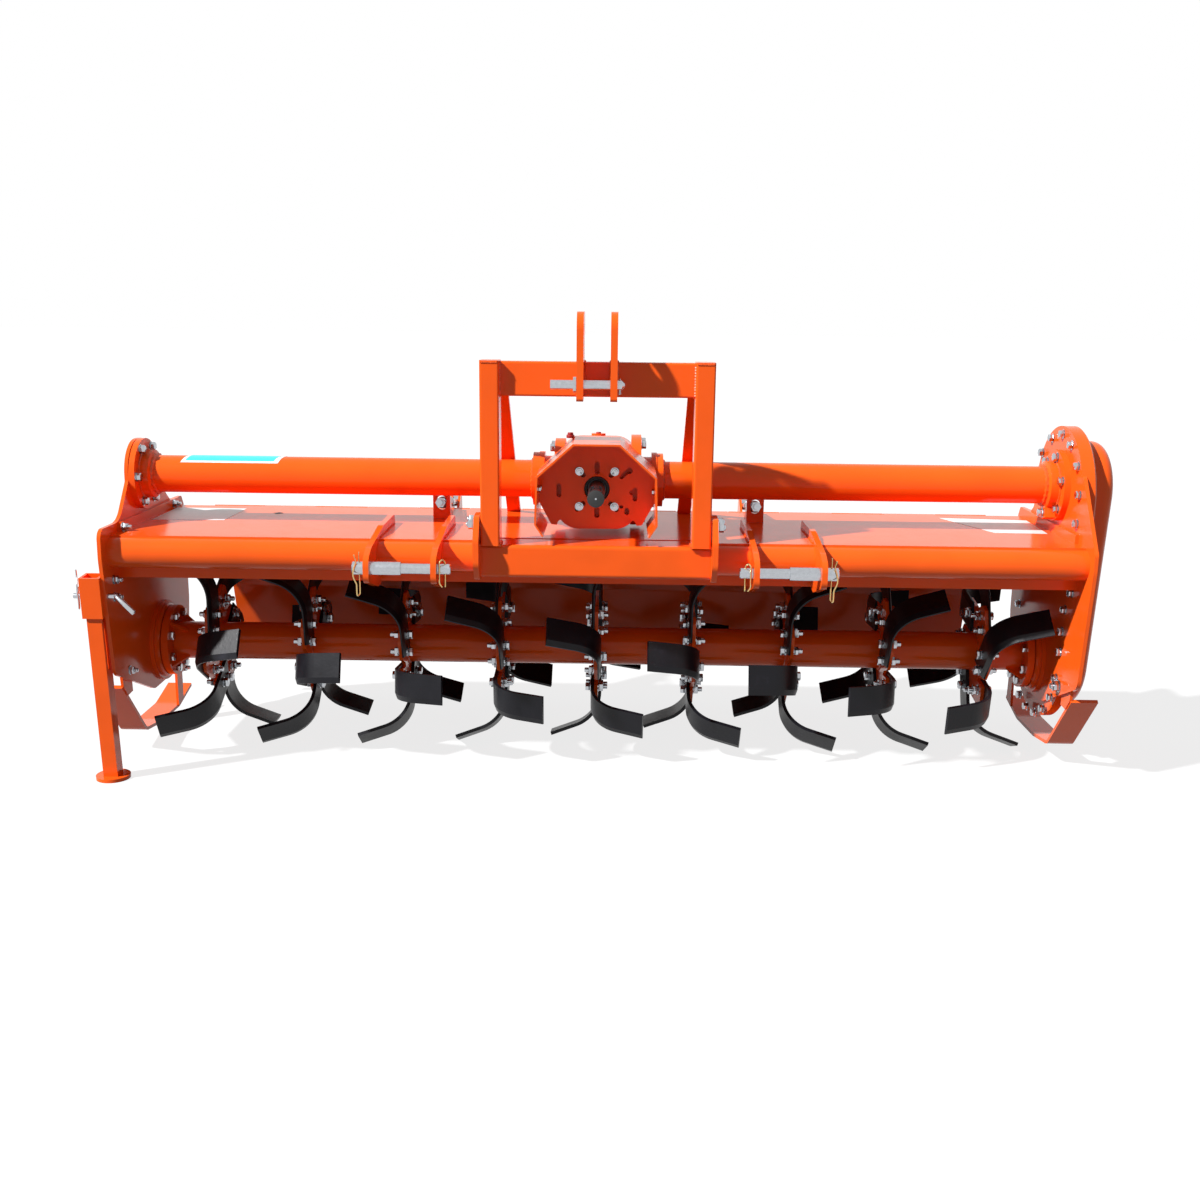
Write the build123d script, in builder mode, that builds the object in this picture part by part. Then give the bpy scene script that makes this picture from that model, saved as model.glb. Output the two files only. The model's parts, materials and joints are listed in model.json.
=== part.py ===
"""Rotavator: a tractor-mounted rotary tiller with nine blade flanges and a side gear case.

Frame: +X to the machine's right as seen from its hitch, +Y to the rear, +Z up, floor at Z = 0.
The hitch faces -Y. Millimetres throughout. Most pieces are placed from the rotor's axis.
"""

from build123d import *
import os
from math import acos, atan2, cos, degrees, radians, sin, sqrt, tan

os.makedirs("parts", exist_ok=True)

# ---- driving dimensions -------------------------------------------------------------------

# rotor
tip_radius = 245.0          # circle swept by the blade corners
flange_count = 9
flange_pitch = 226.6
flange_core_radius = 76.0
flange_arm_width = 56.0     # each blade is bolted to an arm of the flange
flange_arm_end = 98.0
flange_thick = 8.0
rotor_tube_radius = 44.5
rotor_tube_wall = 8.0
rotor_end_radius = 84.0     # bolted flange at each end of the tube
rotor_end_thick = 16.0
gusset_reach = 34.0

# blades
blades_per_side = 3
blade_width = 68.0
blade_thick = 8.0
blade_offset = 76.0         # the shank's middle line passes the rotor's axis at this distance
blade_bend_radius = 85.0
blade_bend_angle = 70.0
blade_reach = 109.4         # axial span from the flange's middle plane to the blade's tip
blade_root = 20.0           # where the shank's trailing corner starts, along its middle line
blade_root_slant = 22.0
blade_edge = 13.0           # width of the ground cutting edge
blade_edge_depth = 4.5
first_blade_angle = -32.0   # first right-bending shank, from the front towards the floor
helix_step = 12.7           # turn of each flange against the one before
left_blade_lag = 60.0
blade_side_gap = 28.2       # from the outermost tips to the side plates

# the rotor's axis stands above the floor by the blades' reach
axis_y = 40.0
axis_z = tip_radius

# side plates
plate_inner = (flange_count - 1) / 2 * flange_pitch + blade_reach + blade_side_gap
plate_thick = 8.0

# upper cross tubes
beam_ahead = 79.0
beam_y = axis_y - beam_ahead
beam_rise = 412.0
beam_z = axis_z + beam_rise
beam_radius = 42.0
beam_wall = 6.0
beam_flange_radius = 80.0
beam_inner_radius = 60.0     # of each tube's flange at the gearbox
beam_flange_thick = 14.0
beam_collar_radius = 54.0
beam_collar_length = 26.0
beam_inner_end = 132.0      # where each tube meets the gearbox
beam_lug_side = 26.0        # square lug under the right collar
beam_lug_length = 24.0
beam_lug_angle = 72.0       # down from straight ahead

# hood
deck_top_rise = 305.0
deck_top = axis_z + deck_top_rise
deck_thick = 6.0
deck_front_ahead = 284.0
deck_front = axis_y - deck_front_ahead
deck_rear_behind = 143.0
deck_rear = axis_y + deck_rear_behind
front_tube_radius = 33.0
front_tube_wall = 5.0
front_tube_ahead = 284.0
front_tube_y = axis_y - front_tube_ahead
front_tube_rise = 268.0
front_tube_z = axis_z + front_tube_rise
front_panel_thick = 6.0
end_strip_thick = 8.0       # upstanding strip at each end of the deck
end_strip_height = 20.0
end_strip_setback = 24.0
front_panel_bottom_rise = 206.0
front_panel_bottom = axis_z + front_panel_bottom_rise
front_panel_flange = 24.0
fit_gap = 0.3               # running gap between faces of different bodies

# mast
bracket_inner = 243.0       # half the distance between the mast brackets
bracket_thick = 12.0
bracket_ahead = 26.0        # in front of the posts
bracket_lip = 2.0
bracket_rise = 62.0         # above the deck
bracket_shoulder_rise = 14.0
bracket_nose_rise = 30.0    # above the base's underside
bracket_drop = 4.0          # below the base's underside
bracket_tail_ahead = 150.0
bracket_tail_length = 20.0
bracket_tail_rise = 24.0
bracket_waist_behind = 30.0     # behind the posts
bracket_waist_rise = 30.0
post_inner = 201.0
post_width = 40.0
post_depth = 58.0
post_wall = 5.0
post_front_ahead = 347.0
post_front = axis_y - post_front_ahead
post_top_rise = 687.0
post_top = axis_z + post_top_rise
crossbeam_height = 71.0
crossbeam_depth = 36.0
crossbeam_wall = 5.0
crossbeam_setback = 22.0
ear_gap = 54.0
ear_thick = 14.0
upper_hole_rise = 752.0
upper_hole_z = axis_z + upper_hole_rise
upper_hole_radius = 12.8
ear_over_hole = 34.0        # from the upper hole to the ears' top
ear_top = upper_hole_z + ear_over_hole
ear_rounding = min(ear_over_hole, 0.9 * (ear_top - post_top))
ear_bottom_rise = 610.0
ear_bottom = axis_z + ear_bottom_rise
ear_front_ahead = 405.0
ear_front = axis_y - ear_front_ahead
link_pin_radius = 9.5
link_pin_left_end = 94.0
link_pin_right_end = 56.0
link_collar_radius = 16.0
link_collar_thick = 6.0
link_collar_gap = 1.0
link_pin_ahead = 378.0
link_pin_y = axis_y - link_pin_ahead
link_pin_rise = 642.0
link_pin_z = axis_z + link_pin_rise
brace_width = 32.0
brace_thick = 12.0

# lower hitch
clevis_centre = 402.0
clevis_half_gap = 63.5      # from the clevis centre to each plate's inner face
clevis_thick = 12.0
hitch_pin_ahead = 388.0
hitch_pin_y = axis_y - hitch_pin_ahead
hitch_pin_rise = 262.0
hitch_pin_z = axis_z + hitch_pin_rise
hitch_pin_radius = 14.0
hitch_pin_thin_radius = 11.0
hitch_pin_outer_reach = 26.0    # past the clevis plates' outer faces, away from the mast
hitch_pin_inner_reach = 28.0
hitch_pin_hole_gap = 0.3

# gearbox and input shaft
gearbox_half_width = 104.0
gearbox_front_ahead = 232.0
gearbox_front = axis_y - gearbox_front_ahead
gearbox_rear_behind = 34.0
gearbox_rear = axis_y + gearbox_rear_behind
gearbox_height = 176.0
gearbox_cap_radius = 66.0
gearbox_cap_thick = 12.0
gearbox_neck_radius = 52.0
gearbox_flange_radius = beam_inner_radius + 2
gearbox_flange_thick = 12.0
gearbox_ring_inner = 74.0   # the bolted joint rings each side of the housing
gearbox_ring_thick = 22.0
gearbox_ring_radius_left = 92.0
gearbox_ring_radius_right = 102.0
front_plate_thick = 8.0
pocket_depth = 14.0         # of the hollows behind the front plate's openings
input_radius = 17.46
input_end_ahead = 385.0
input_end = axis_y - input_end_ahead
input_spline_length = 76.0
input_spline_depth = 3.0
input_hole_radius = 28.0
input_shoulder_radius = 20.0
input_seat_depth = 70.0
seal_recess_depth = 12.0
shaft_gap = 0.08            # running clearance of a shaft in its seat
input_groove_place = 38.0   # from the shaft's end to the middle of its locking groove
input_groove_width = 8.0
input_groove_radius = 14.7
guard_front_ahead = 345.0
guard_front = axis_y - guard_front_ahead
guard_rear_ahead = 166.0
guard_rear = axis_y - guard_rear_ahead

# rear hinge and board
hinge_behind = 155.0
hinge_y = axis_y + hinge_behind
hinge_rise = 294.0
hinge_z = axis_z + hinge_rise
hinge_rod_radius = 6.0
knuckle_radius = 11.0
knuckle_bore_gap = 0.3
knuckle_pitch = 127.0
knuckle_gap = 1.0           # on each side of the joint between two knuckles
board_half_width = 950.0
board_thick = 5.0
board_fold_behind = 268.0
board_fold_rise = 78.0
board_edge_behind = 322.0
board_edge_drop = 104.0
board_bead_radius = 9.0

# board rods
lug_foot_behind = 176.0     # the rod lugs' corners, from the rotor's axis
lug_foot_rise = 262.0
lug_toe_behind = 236.0
lug_toe_rise = 140.0
lug_back_behind = 200.0
lug_back_rise = 284.0
rod_x = 366.0
rod_radius = 7.0
rod_bracket_ahead = 10.0
rod_bracket_y = axis_y - rod_bracket_ahead
rod_bracket_rise = 343.0
rod_bracket_z = axis_z + rod_bracket_rise
rod_bracket_width = 40.0
rod_bracket_thick = 8.0
rod_eye_behind = 265.0
rod_eye_y = axis_y + rod_eye_behind
rod_eye_rise = 305.0
rod_eye_z = axis_z + rod_eye_rise
rod_front_end = 46.0        # how far the rod stands out in front of its bracket
rod_eye_radius = 14.0
rod_eye_half = 6.0
rod_nut_radius = 12.0
rod_nut_thick = 10.0
lug_pin_radius = 7.0
lug_thick = 6.0
lug_gap = 7.0               # from the rod's middle to each lug's inner face

# stand
stand_sleeve_side = 44.0
stand_leg_side = 32.0
stand_leg_wall = 4.0
stand_tilt = 4.0            # the leg leans back towards its foot
stand_foot_radius = 37.0
stand_foot_thick = 8.0
stand_pin_radius = 6.0
stand_travel = 160.0
stand_pin_rise = 178.0
stand_pin_z = axis_z + stand_pin_rise
stand_pin_ahead = 318.0
stand_pin_y = axis_y - stand_pin_ahead

# gear case on the right side plate
case_upper_ahead = 76.0
case_upper_rise = 388.0
case_lower_ahead = 10.0
case_lower_rise = 40.0
case_upper = (axis_y - case_upper_ahead, axis_z + case_upper_rise)
case_upper_radius = 157.0
case_lower = (axis_y - case_lower_ahead, axis_z + case_lower_rise)
case_lower_radius = 186.0
case_thick = 24.0
cover_upper_rise = 405.0
cover_lower_ahead = 5.0
cover_lower_rise = 5.0
cover_upper = (axis_y - case_upper_ahead, axis_z + cover_upper_rise)
cover_upper_radius = 107.0
cover_lower = (axis_y - cover_lower_ahead, axis_z + cover_lower_rise)
cover_lower_radius = 128.0
cover_thick = 59.0
cover_rounding = 26.0

# bearings at the rotor's ends
bearing_radius = 88.0
bearing_base_radius = 96.0
bearing_base_thick = 8.0
bearing_thick = 18.0
bearing_gap = 3.0

# skids
skid_width = 60.0
skid_thick = 8.0
skid_gap = 3.0              # from each plate's outer face to the strap's inner edge
skid_tab_thick = 6.0


def from_axis(points):
    """Turn (y, z) measured from the rotor's axis into places in the machine's frame."""
    return [(axis_y + y, axis_z + z) for y, z in points]


def across(x):
    """The plane of constant X, whose sketch coordinates are the machine's Y and Z."""
    return Plane.YZ.offset(x)


def wrapped(upper, upper_radius, lower, lower_radius):
    """Draw the shape of a belt round two circles, in the sketch that is open."""
    span_y, span_z = lower[0] - upper[0], lower[1] - upper[1]
    lean = acos((upper_radius - lower_radius) / sqrt(span_y ** 2 + span_z ** 2))
    heading = atan2(span_z, span_y)
    corners = []
    for (y, z), radius, turns in ((upper, upper_radius, (1, -1)), (lower, lower_radius, (-1, 1))):
        with Locations((y, z)):
            Circle(radius)
        for turn in turns:
            angle = heading + turn * lean
            corners.append((y + radius * cos(angle), z + radius * sin(angle)))
    Polygon(*corners, align=None)


nodes = {}


def keep(name, piece):
    """Label a finished piece and list it for export."""
    piece.part.label = name
    nodes[name] = piece


# ---- side plates --------------------------------------------------------------------------

head = beam_flange_radius
# outline of the left plate: y, z from the rotor's axis, radius of the corner
left_plate_outline = [
    (-beam_ahead - head, beam_rise + head, 0.94 * head),
    (-beam_ahead + head, beam_rise + head, 0.94 * head),
    (-beam_ahead + head, beam_rise - 8, 6),
    (85, 338, 12),
    (105, 324, 8),
    (186, 322, 10),
    (200, 300, 10),
    (200, 60, 60),
    (172, -96, 30),
    (-80, -100, 50),
    (-307, -1, 30),
    (-340, 261, 60),
    (-338, 325, 22),
    (-225, 325, 60),
    (-beam_ahead - head, beam_rise - 8, 10),
]
right_plate_outline = [
    (-226, 452, 20),
    (60, 452, 20),
    (85, 338, 12),
    (105, 324, 8),
    (186, 322, 10),
    (200, 300, 10),
    (200, 60, 60),
    (172, -96, 30),
    (-80, -100, 50),
    (-307, -1, 30),
    (-340, 261, 60),
    (-340, 300, 14),
]
for name, outline, plane in (
    ("left_side_plate", left_plate_outline, across(-plate_inner - plate_thick)),
    ("right_side_plate", right_plate_outline, across(plate_inner)),
):
    with BuildPart() as side_plate:
        with BuildSketch(plane):
            with BuildLine():
                FilletPolyline(
                    *from_axis([(y, z) for y, z, _ in outline]),
                    radius=[r for _, _, r in outline],
                    close=True,
                )
            make_face()
            if name == "right_side_plate":
                with Locations(case_upper):
                    Circle(case_upper_radius)
            else:
                with Locations((stand_pin_y, stand_pin_z)):
                    Circle(stand_pin_radius + fit_gap, mode=Mode.SUBTRACT)
        extrude(amount=plate_thick)
    keep(name, side_plate)

# ---- gear case ----------------------------------------------------------------------------

case_inner = plate_inner + plate_thick
with BuildPart() as gear_case:
    with BuildSketch(across(case_inner)):
        wrapped(case_upper, case_upper_radius, case_lower, case_lower_radius)
    extrude(amount=case_thick)
    chamfer(gear_case.faces().sort_by(Axis.X)[-1].edges(), 4)
keep("gear_case", gear_case)

cover_inner = case_inner + case_thick
with BuildPart() as gear_case_cover:
    with BuildSketch(across(cover_inner)):
        wrapped(cover_upper, cover_upper_radius, cover_lower, cover_lower_radius)
    extrude(amount=cover_thick)
    fillet(gear_case_cover.faces().sort_by(Axis.X)[-1].edges(), cover_rounding)
keep("gear_case_cover", gear_case_cover)

# ---- hood ---------------------------------------------------------------------------------

panel_face = front_tube_y + front_tube_radius
with BuildPart() as hood_deck:
    with BuildSketch(across(-plate_inner)):
        with BuildLine():
            Polyline(
                (deck_front, deck_top),
                (deck_rear, deck_top),
                (deck_rear, deck_top - deck_thick),
                (deck_front, deck_top - deck_thick),
                close=True,
            )
        make_face()
        with Locations((front_tube_y, front_tube_z)):
            Circle(front_tube_radius, mode=Mode.SUBTRACT)
    extrude(amount=2 * plate_inner)
    with Locations((0, (deck_front + panel_face) / 2, deck_top)):
        Box(2 * (bracket_inner + bracket_thick), panel_face - deck_front, 4 * deck_thick,
            mode=Mode.SUBTRACT)
    with BuildSketch(across(-plate_inner), across(plate_inner - end_strip_thick)):
        with Locations(((deck_front + deck_rear) / 2 + end_strip_setback, deck_top)):
            Rectangle(deck_rear - deck_front - 2 * end_strip_setback, 2 * end_strip_height)
    extrude(amount=end_strip_thick)
keep("hood_deck", hood_deck)

with BuildPart() as front_panel:
    with BuildSketch(across(-plate_inner)):
        with BuildLine():
            Polyline(
                (panel_face, deck_top - deck_thick),
                (panel_face + front_panel_thick, deck_top - deck_thick),
                (panel_face + front_panel_thick, front_panel_bottom + front_panel_thick),
                (panel_face + front_panel_flange, front_panel_bottom + front_panel_thick),
                (panel_face + front_panel_flange, front_panel_bottom),
                (panel_face, front_panel_bottom),
                close=True,
            )
        make_face()
    extrude(amount=2 * plate_inner)
keep("front_panel", front_panel)

for name, start in (
    ("front_tube_left", -plate_inner),
    ("front_tube_right", bracket_inner + bracket_thick),
):
    with BuildPart() as front_tube:
        with BuildSketch(across(start)):
            with Locations((front_tube_y, front_tube_z)):
                Circle(front_tube_radius)
                Circle(front_tube_radius - front_tube_wall, mode=Mode.SUBTRACT)
        extrude(amount=plate_inner - bracket_inner - bracket_thick)
    keep(name, front_tube)

# ---- upper cross tubes --------------------------------------------------------------------

for name, side in (("beam_tube_left", -1), ("beam_tube_right", 1)):
    with BuildPart() as beam:
        axis_plane = Plane(origin=(0, beam_y, beam_z), x_dir=(side, 0, 0), z_dir=(0, -side, 0))
        with BuildSketch(axis_plane):
            with BuildLine():
                Polyline(
                    (beam_inner_end, beam_radius - beam_wall),
                    (beam_inner_end, beam_inner_radius),
                    (beam_inner_end + beam_flange_thick, beam_inner_radius),
                    (beam_inner_end + beam_flange_thick, beam_radius),
                    (plate_inner - beam_flange_thick - beam_collar_length, beam_radius),
                    (plate_inner - beam_flange_thick - beam_collar_length + 6, beam_collar_radius),
                    (plate_inner - beam_flange_thick, beam_collar_radius),
                    (plate_inner - beam_flange_thick, beam_flange_radius),
                    (plate_inner, beam_flange_radius),
                    (plate_inner, beam_radius - beam_wall),
                    close=True,
                )
            make_face()
        revolve(axis=Axis((0, beam_y, beam_z), (1, 0, 0)))
        if side > 0:
            lug_out = beam_collar_radius + beam_lug_side / 2 - 4
            lug_middle = (plate_inner - beam_flange_thick - beam_lug_length / 2,
                          beam_y - lug_out * cos(radians(beam_lug_angle)),
                          beam_z - lug_out * sin(radians(beam_lug_angle)))
            with Locations(Location(lug_middle, (beam_lug_angle, 0, 0))):
                Box(beam_lug_length, beam_lug_side, beam_lug_side)
    keep(name, beam)

# ---- gearbox ------------------------------------------------------------------------------

# slots through the front plate: x, z from the input shaft, length over all, width, turn
plate_slots = [
    (0, 45, 27, 11, 90),
    (0, -51, 24, 11, 90),
    (-82, -4, 30, 10, 90),
    (82, -11, 30, 10, 90),
    (61, 35, 32, 9, 47),
    (65, -48, 16, 10, 90),
    (-36, 36, 28, 11, -45),
    (36, 36, 28, 11, 45),
    (-36, -38, 28, 11, 45),
    (36, -38, 28, 11, -45),
]
# round holes through it: x, z from the input shaft, radius
plate_holes = [(76, -7, 6), (69, 40, 7), (53, -38, 4)]


def cut_plate_openings():
    """Cut the front plate's slots and holes out of the sketch in hand."""
    for x, z, length, width, turn in plate_slots:
        with Locations((x, beam_z + z)):
            SlotOverall(length, width, rotation=turn, mode=Mode.SUBTRACT)
    for x, z, radius in plate_holes:
        with Locations((x, beam_z + z)):
            Circle(radius, mode=Mode.SUBTRACT)


with BuildPart() as gearbox_housing:
    with BuildSketch(Plane.XZ.offset(-gearbox_rear)):
        with Locations((0, beam_z)):
            RectangleRounded(2 * gearbox_half_width - 30, gearbox_height, 50)
    extrude(amount=gearbox_rear - gearbox_front - pocket_depth)
    with BuildSketch(Plane.XZ.offset(-gearbox_front - pocket_depth)):
        with Locations((0, beam_z)):
            RectangleRounded(2 * gearbox_half_width - 30, gearbox_height, 50)
        cut_plate_openings()
    extrude(amount=pocket_depth)
    with BuildSketch(across(-beam_inner_end + gearbox_flange_thick)):
        with Locations((beam_y, beam_z)):
            Circle(gearbox_neck_radius)
    extrude(amount=2 * (beam_inner_end - gearbox_flange_thick))
    with BuildSketch(across(-beam_inner_end), across(beam_inner_end - gearbox_flange_thick)):
        with Locations((beam_y, beam_z)):
            Circle(gearbox_flange_radius)
    extrude(amount=gearbox_flange_thick)
    for start, radius in (
        (-gearbox_ring_inner - gearbox_ring_thick, gearbox_ring_radius_left),
        (gearbox_ring_inner, gearbox_ring_radius_right),
    ):
        with BuildSketch(across(start)):
            with Locations((beam_y, beam_z)):
                Circle(radius)
        extrude(amount=gearbox_ring_thick)
    with BuildSketch(Plane.XZ.offset(-gearbox_rear)):
        with Locations((0, beam_z)):
            Circle(gearbox_cap_radius)
    extrude(amount=-gearbox_cap_thick)
    with BuildSketch(Plane.XY.offset(beam_z + gearbox_height / 2)):
        with Locations((0, beam_y)):
            Circle(16)
    extrude(amount=16)
    with BuildSketch(Plane.XZ.offset(-gearbox_front)):
        with Locations((0, beam_z)):
            Circle(input_hole_radius)
    extrude(amount=-seal_recess_depth, mode=Mode.SUBTRACT)
    with BuildSketch(Plane.XZ.offset(-gearbox_front)):
        with Locations((0, beam_z)):
            Circle(input_shoulder_radius + shaft_gap)
    extrude(amount=-input_seat_depth, mode=Mode.SUBTRACT)
keep("gearbox_housing", gearbox_housing)

front_plate_back = gearbox_front
# half outlines of the front plate and of the guard's strip: x, z from the input shaft
plate_half = [(46, 101), (122.1, 30), (123.9, -30), (98, -78), (72, -80)]
guard_outer = [(49, 107), (126, 38), (129, -62), (112, -88)]
guard_inner = [(109, -86), (125, -62), (122, 36), (47, 103)]
with BuildPart() as gearbox_front_plate:
    with BuildSketch(Plane.XZ.offset(-front_plate_back)):
        with BuildLine():
            right_edge = [(x, beam_z + z) for x, z in plate_half]
            Polyline(*[(-x, z) for x, z in reversed(right_edge)], *right_edge, close=True)
        make_face()
        with Locations((-72, beam_z - 80), (72, beam_z - 80)):
            Circle(14, mode=Mode.SUBTRACT)
        with Locations((0, beam_z)):
            Circle(input_hole_radius, mode=Mode.SUBTRACT)
        cut_plate_openings()
    extrude(amount=front_plate_thick)
keep("gearbox_front_plate", gearbox_front_plate)

with BuildPart() as input_guard:
    with BuildSketch(Plane.XZ.offset(-guard_rear)):
        with BuildLine():
            right_half = [(x, beam_z + z) for x, z in guard_outer + guard_inner]
            left_half = [(-x, z) for x, z in reversed(right_half)]
            Polyline(*right_half, *left_half, close=True)
        make_face()
    extrude(amount=guard_rear - guard_front)
keep("input_guard", input_guard)

with BuildPart() as input_shaft:
    with BuildSketch(Plane.XZ.offset(-input_end)):
        with Locations((0, beam_z)):
            Circle(input_radius)
    extrude(amount=input_end - gearbox_front - seal_recess_depth)
    chamfer(input_shaft.faces().sort_by(Axis.Y)[0].edges(), 2)
    with BuildSketch(Plane.XZ.offset(-gearbox_front - seal_recess_depth)):
        with Locations((0, beam_z)):
            Circle(input_shoulder_radius)
    extrude(amount=seal_recess_depth - input_seat_depth + 2)
    with BuildSketch(Plane.XZ.offset(-input_end)):
        with Locations((0, beam_z)):
            with PolarLocations(input_radius, 6):
                Rectangle(2 * input_spline_depth, 7)
    extrude(amount=-input_spline_length, mode=Mode.SUBTRACT)
    with BuildSketch(Plane.XZ.offset(-input_end - input_groove_place + input_groove_width / 2)):
        with Locations((0, beam_z)):
            Circle(input_radius + 1)
            Circle(input_groove_radius, mode=Mode.SUBTRACT)
    extrude(amount=-input_groove_width, mode=Mode.SUBTRACT)
keep("input_shaft", input_shaft)

# ---- mast ---------------------------------------------------------------------------------

base_back = panel_face
base_front = post_front + 12
base_top = deck_top - 1
base_bottom = front_tube_z - front_tube_radius
with BuildPart() as mast_base:
    with BuildSketch(across(-bracket_inner)):
        with Locations(((base_front + base_back) / 2, (base_top + base_bottom) / 2)):
            RectangleRounded(base_back - base_front, base_top - base_bottom, 8)
            RectangleRounded(base_back - base_front - 12, base_top - base_bottom - 12, 4,
                             mode=Mode.SUBTRACT)
    extrude(amount=2 * bracket_inner)
keep("mast_base", mast_base)

for name, side in (("mast_post_left", -1), ("mast_post_right", 1)):
    with BuildPart() as post:
        with BuildSketch(Plane.XY.offset(base_top)):
            with Locations((side * (post_inner + post_width / 2), post_front + post_depth / 2)):
                RectangleRounded(post_width, post_depth, 4)
                Rectangle(post_width - 2 * post_wall, post_depth - 2 * post_wall,
                          mode=Mode.SUBTRACT)
        extrude(amount=post_top - base_top - post_wall)
        with BuildSketch(Plane.XY.offset(post_top - post_wall)):
            with Locations((side * (post_inner + post_width / 2), post_front + post_depth / 2)):
                RectangleRounded(post_width, post_depth, 4)
        extrude(amount=post_wall)
    keep(name, post)

beam_face = post_front + crossbeam_setback
with BuildPart() as mast_crossbeam:
    with BuildSketch(across(-post_inner)):
        with Locations((beam_face + crossbeam_depth / 2, post_top - 2 - crossbeam_height / 2)):
            RectangleRounded(crossbeam_depth, crossbeam_height, 5)
            Rectangle(crossbeam_depth - 2 * crossbeam_wall,
                      crossbeam_height - 2 * crossbeam_wall, mode=Mode.SUBTRACT)
    extrude(amount=2 * post_inner)
keep("mast_crossbeam", mast_crossbeam)

with BuildPart() as top_link_ears:
    with BuildSketch(across(-ear_gap / 2 - ear_thick), across(ear_gap / 2)):
        with BuildLine():
            FilletPolyline(
                (ear_front, ear_bottom),
                (ear_front, ear_top),
                (beam_face + crossbeam_depth - 6, ear_top),
                (beam_face + crossbeam_depth, post_top - 2),
                (beam_face, post_top - 2),
                (beam_face, ear_bottom),
                radius=[6, ear_rounding, ear_rounding, 0, 0, 6],
                close=True,
            )
        make_face()
        with Locations((link_pin_y, link_pin_z)):
            Circle(link_pin_radius + hitch_pin_hole_gap, mode=Mode.SUBTRACT)
        with Locations((link_pin_y, upper_hole_z)):
            Circle(upper_hole_radius, mode=Mode.SUBTRACT)
    extrude(amount=ear_thick)
keep("top_link_ears", top_link_ears)

with BuildPart() as top_link_pin:
    with BuildSketch(across(-link_pin_left_end)):
        with Locations((link_pin_y, link_pin_z)):
            Circle(link_pin_radius)
    extrude(amount=link_pin_left_end + link_pin_right_end)
    chamfer(top_link_pin.faces().sort_by(Axis.X)[-1].edges(), link_pin_radius * 0.6)
    with BuildSketch(across(-ear_gap / 2 - ear_thick - link_collar_gap - link_collar_thick)):
        with Locations((link_pin_y, link_pin_z)):
            Circle(link_collar_radius)
    extrude(amount=link_collar_thick)
keep("top_link_pin", top_link_pin)

brace_top = (post_front + post_depth, post_top - 4)
brace_foot = (axis_y + 130, deck_top)
for name, side in (("mast_brace_left", -1), ("mast_brace_right", 1)):
    with BuildPart() as brace:
        with BuildSketch(across(side * (post_inner + 6) - brace_width / 2)):
            with BuildLine():
                Polyline(
                    brace_top,
                    (brace_top[0], brace_top[1] - brace_thick * 1.3),
                    (brace_foot[0] - brace_thick * 1.5, brace_foot[1]),
                    brace_foot,
                    close=True,
                )
            make_face()
        extrude(amount=brace_width)
    keep(name, brace)

for name, start in (
    ("mast_bracket_left", -bracket_inner - bracket_thick),
    ("mast_bracket_right", bracket_inner),
):
    with BuildPart() as bracket:
        with BuildSketch(across(start)):
            with BuildLine():
                FilletPolyline(
                    (post_front + post_depth, deck_top + bracket_rise),
                    (post_front + bracket_lip, deck_top + bracket_rise),
                    (post_front - bracket_ahead, deck_top + bracket_shoulder_rise),
                    (post_front - bracket_ahead, base_bottom + bracket_nose_rise),
                    (post_front + bracket_lip, base_bottom - bracket_drop),
                    (base_back, base_bottom - bracket_drop),
                    (base_back, deck_top),
                    (axis_y - bracket_tail_ahead, deck_top),
                    (axis_y - bracket_tail_ahead - bracket_tail_length,
                     deck_top + bracket_tail_rise),
                    (post_front + post_depth + bracket_waist_behind,
                     deck_top + bracket_waist_rise),
                    radius=[12, 14, 24, 24, 12, 0, 0, 0, 8, 10],
                    close=True,
                )
            make_face()
        extrude(amount=bracket_thick)
    keep(name, bracket)

# ---- lower hitch --------------------------------------------------------------------------

# outline of a clevis plate in front of the tube and along the deck: y, z from the axis, corner
clevis_outline = [
    (-411, 236, 18),
    (-411, 285, 26),
    (-372, 302, 30),
    (-225, 324, 40),
    (-84, 326, 12),
    (-72, 305, 0),
    (-284, 305, 0),
    (-284, 250, 0),
    (-264, 206, 8),
    (-300, 204, 16),
]
for name, side in (("lower_clevis_left", -1), ("lower_clevis_right", 1)):
    with BuildPart() as clevis:
        centre = side * clevis_centre
        with BuildSketch(across(centre - clevis_half_gap - clevis_thick),
                         across(centre + clevis_half_gap)):
            with BuildLine():
                FilletPolyline(
                    *from_axis([(y, z) for y, z, _ in clevis_outline]),
                    radius=[r for _, _, r in clevis_outline],
                    close=True,
                )
            make_face()
            with Locations((front_tube_y, front_tube_z)):
                Circle(front_tube_radius, mode=Mode.SUBTRACT)
            with Locations((hitch_pin_y, hitch_pin_z)):
                Circle(hitch_pin_radius + hitch_pin_hole_gap, mode=Mode.SUBTRACT)
        extrude(amount=clevis_thick)
    keep(name, clevis)

clevis_half_width = clevis_half_gap + clevis_thick
for name, side in (("lower_pin_left", -1), ("lower_pin_right", 1)):
    with BuildPart() as hitch_pin:
        for radius, out, reach in (
            (hitch_pin_radius, side, clevis_half_width + hitch_pin_outer_reach),
            (hitch_pin_thin_radius, -side, clevis_half_width + hitch_pin_inner_reach),
        ):
            with BuildSketch(across(side * clevis_centre)):
                with Locations((hitch_pin_y, hitch_pin_z)):
                    Circle(radius)
            extrude(amount=out * reach)
            end = hitch_pin.faces().sort_by(Axis.X)[-1 if out > 0 else 0]
            chamfer(end.edges(), 2)
    keep(name, hitch_pin)

# ---- rear hinge and board -----------------------------------------------------------------



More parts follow.
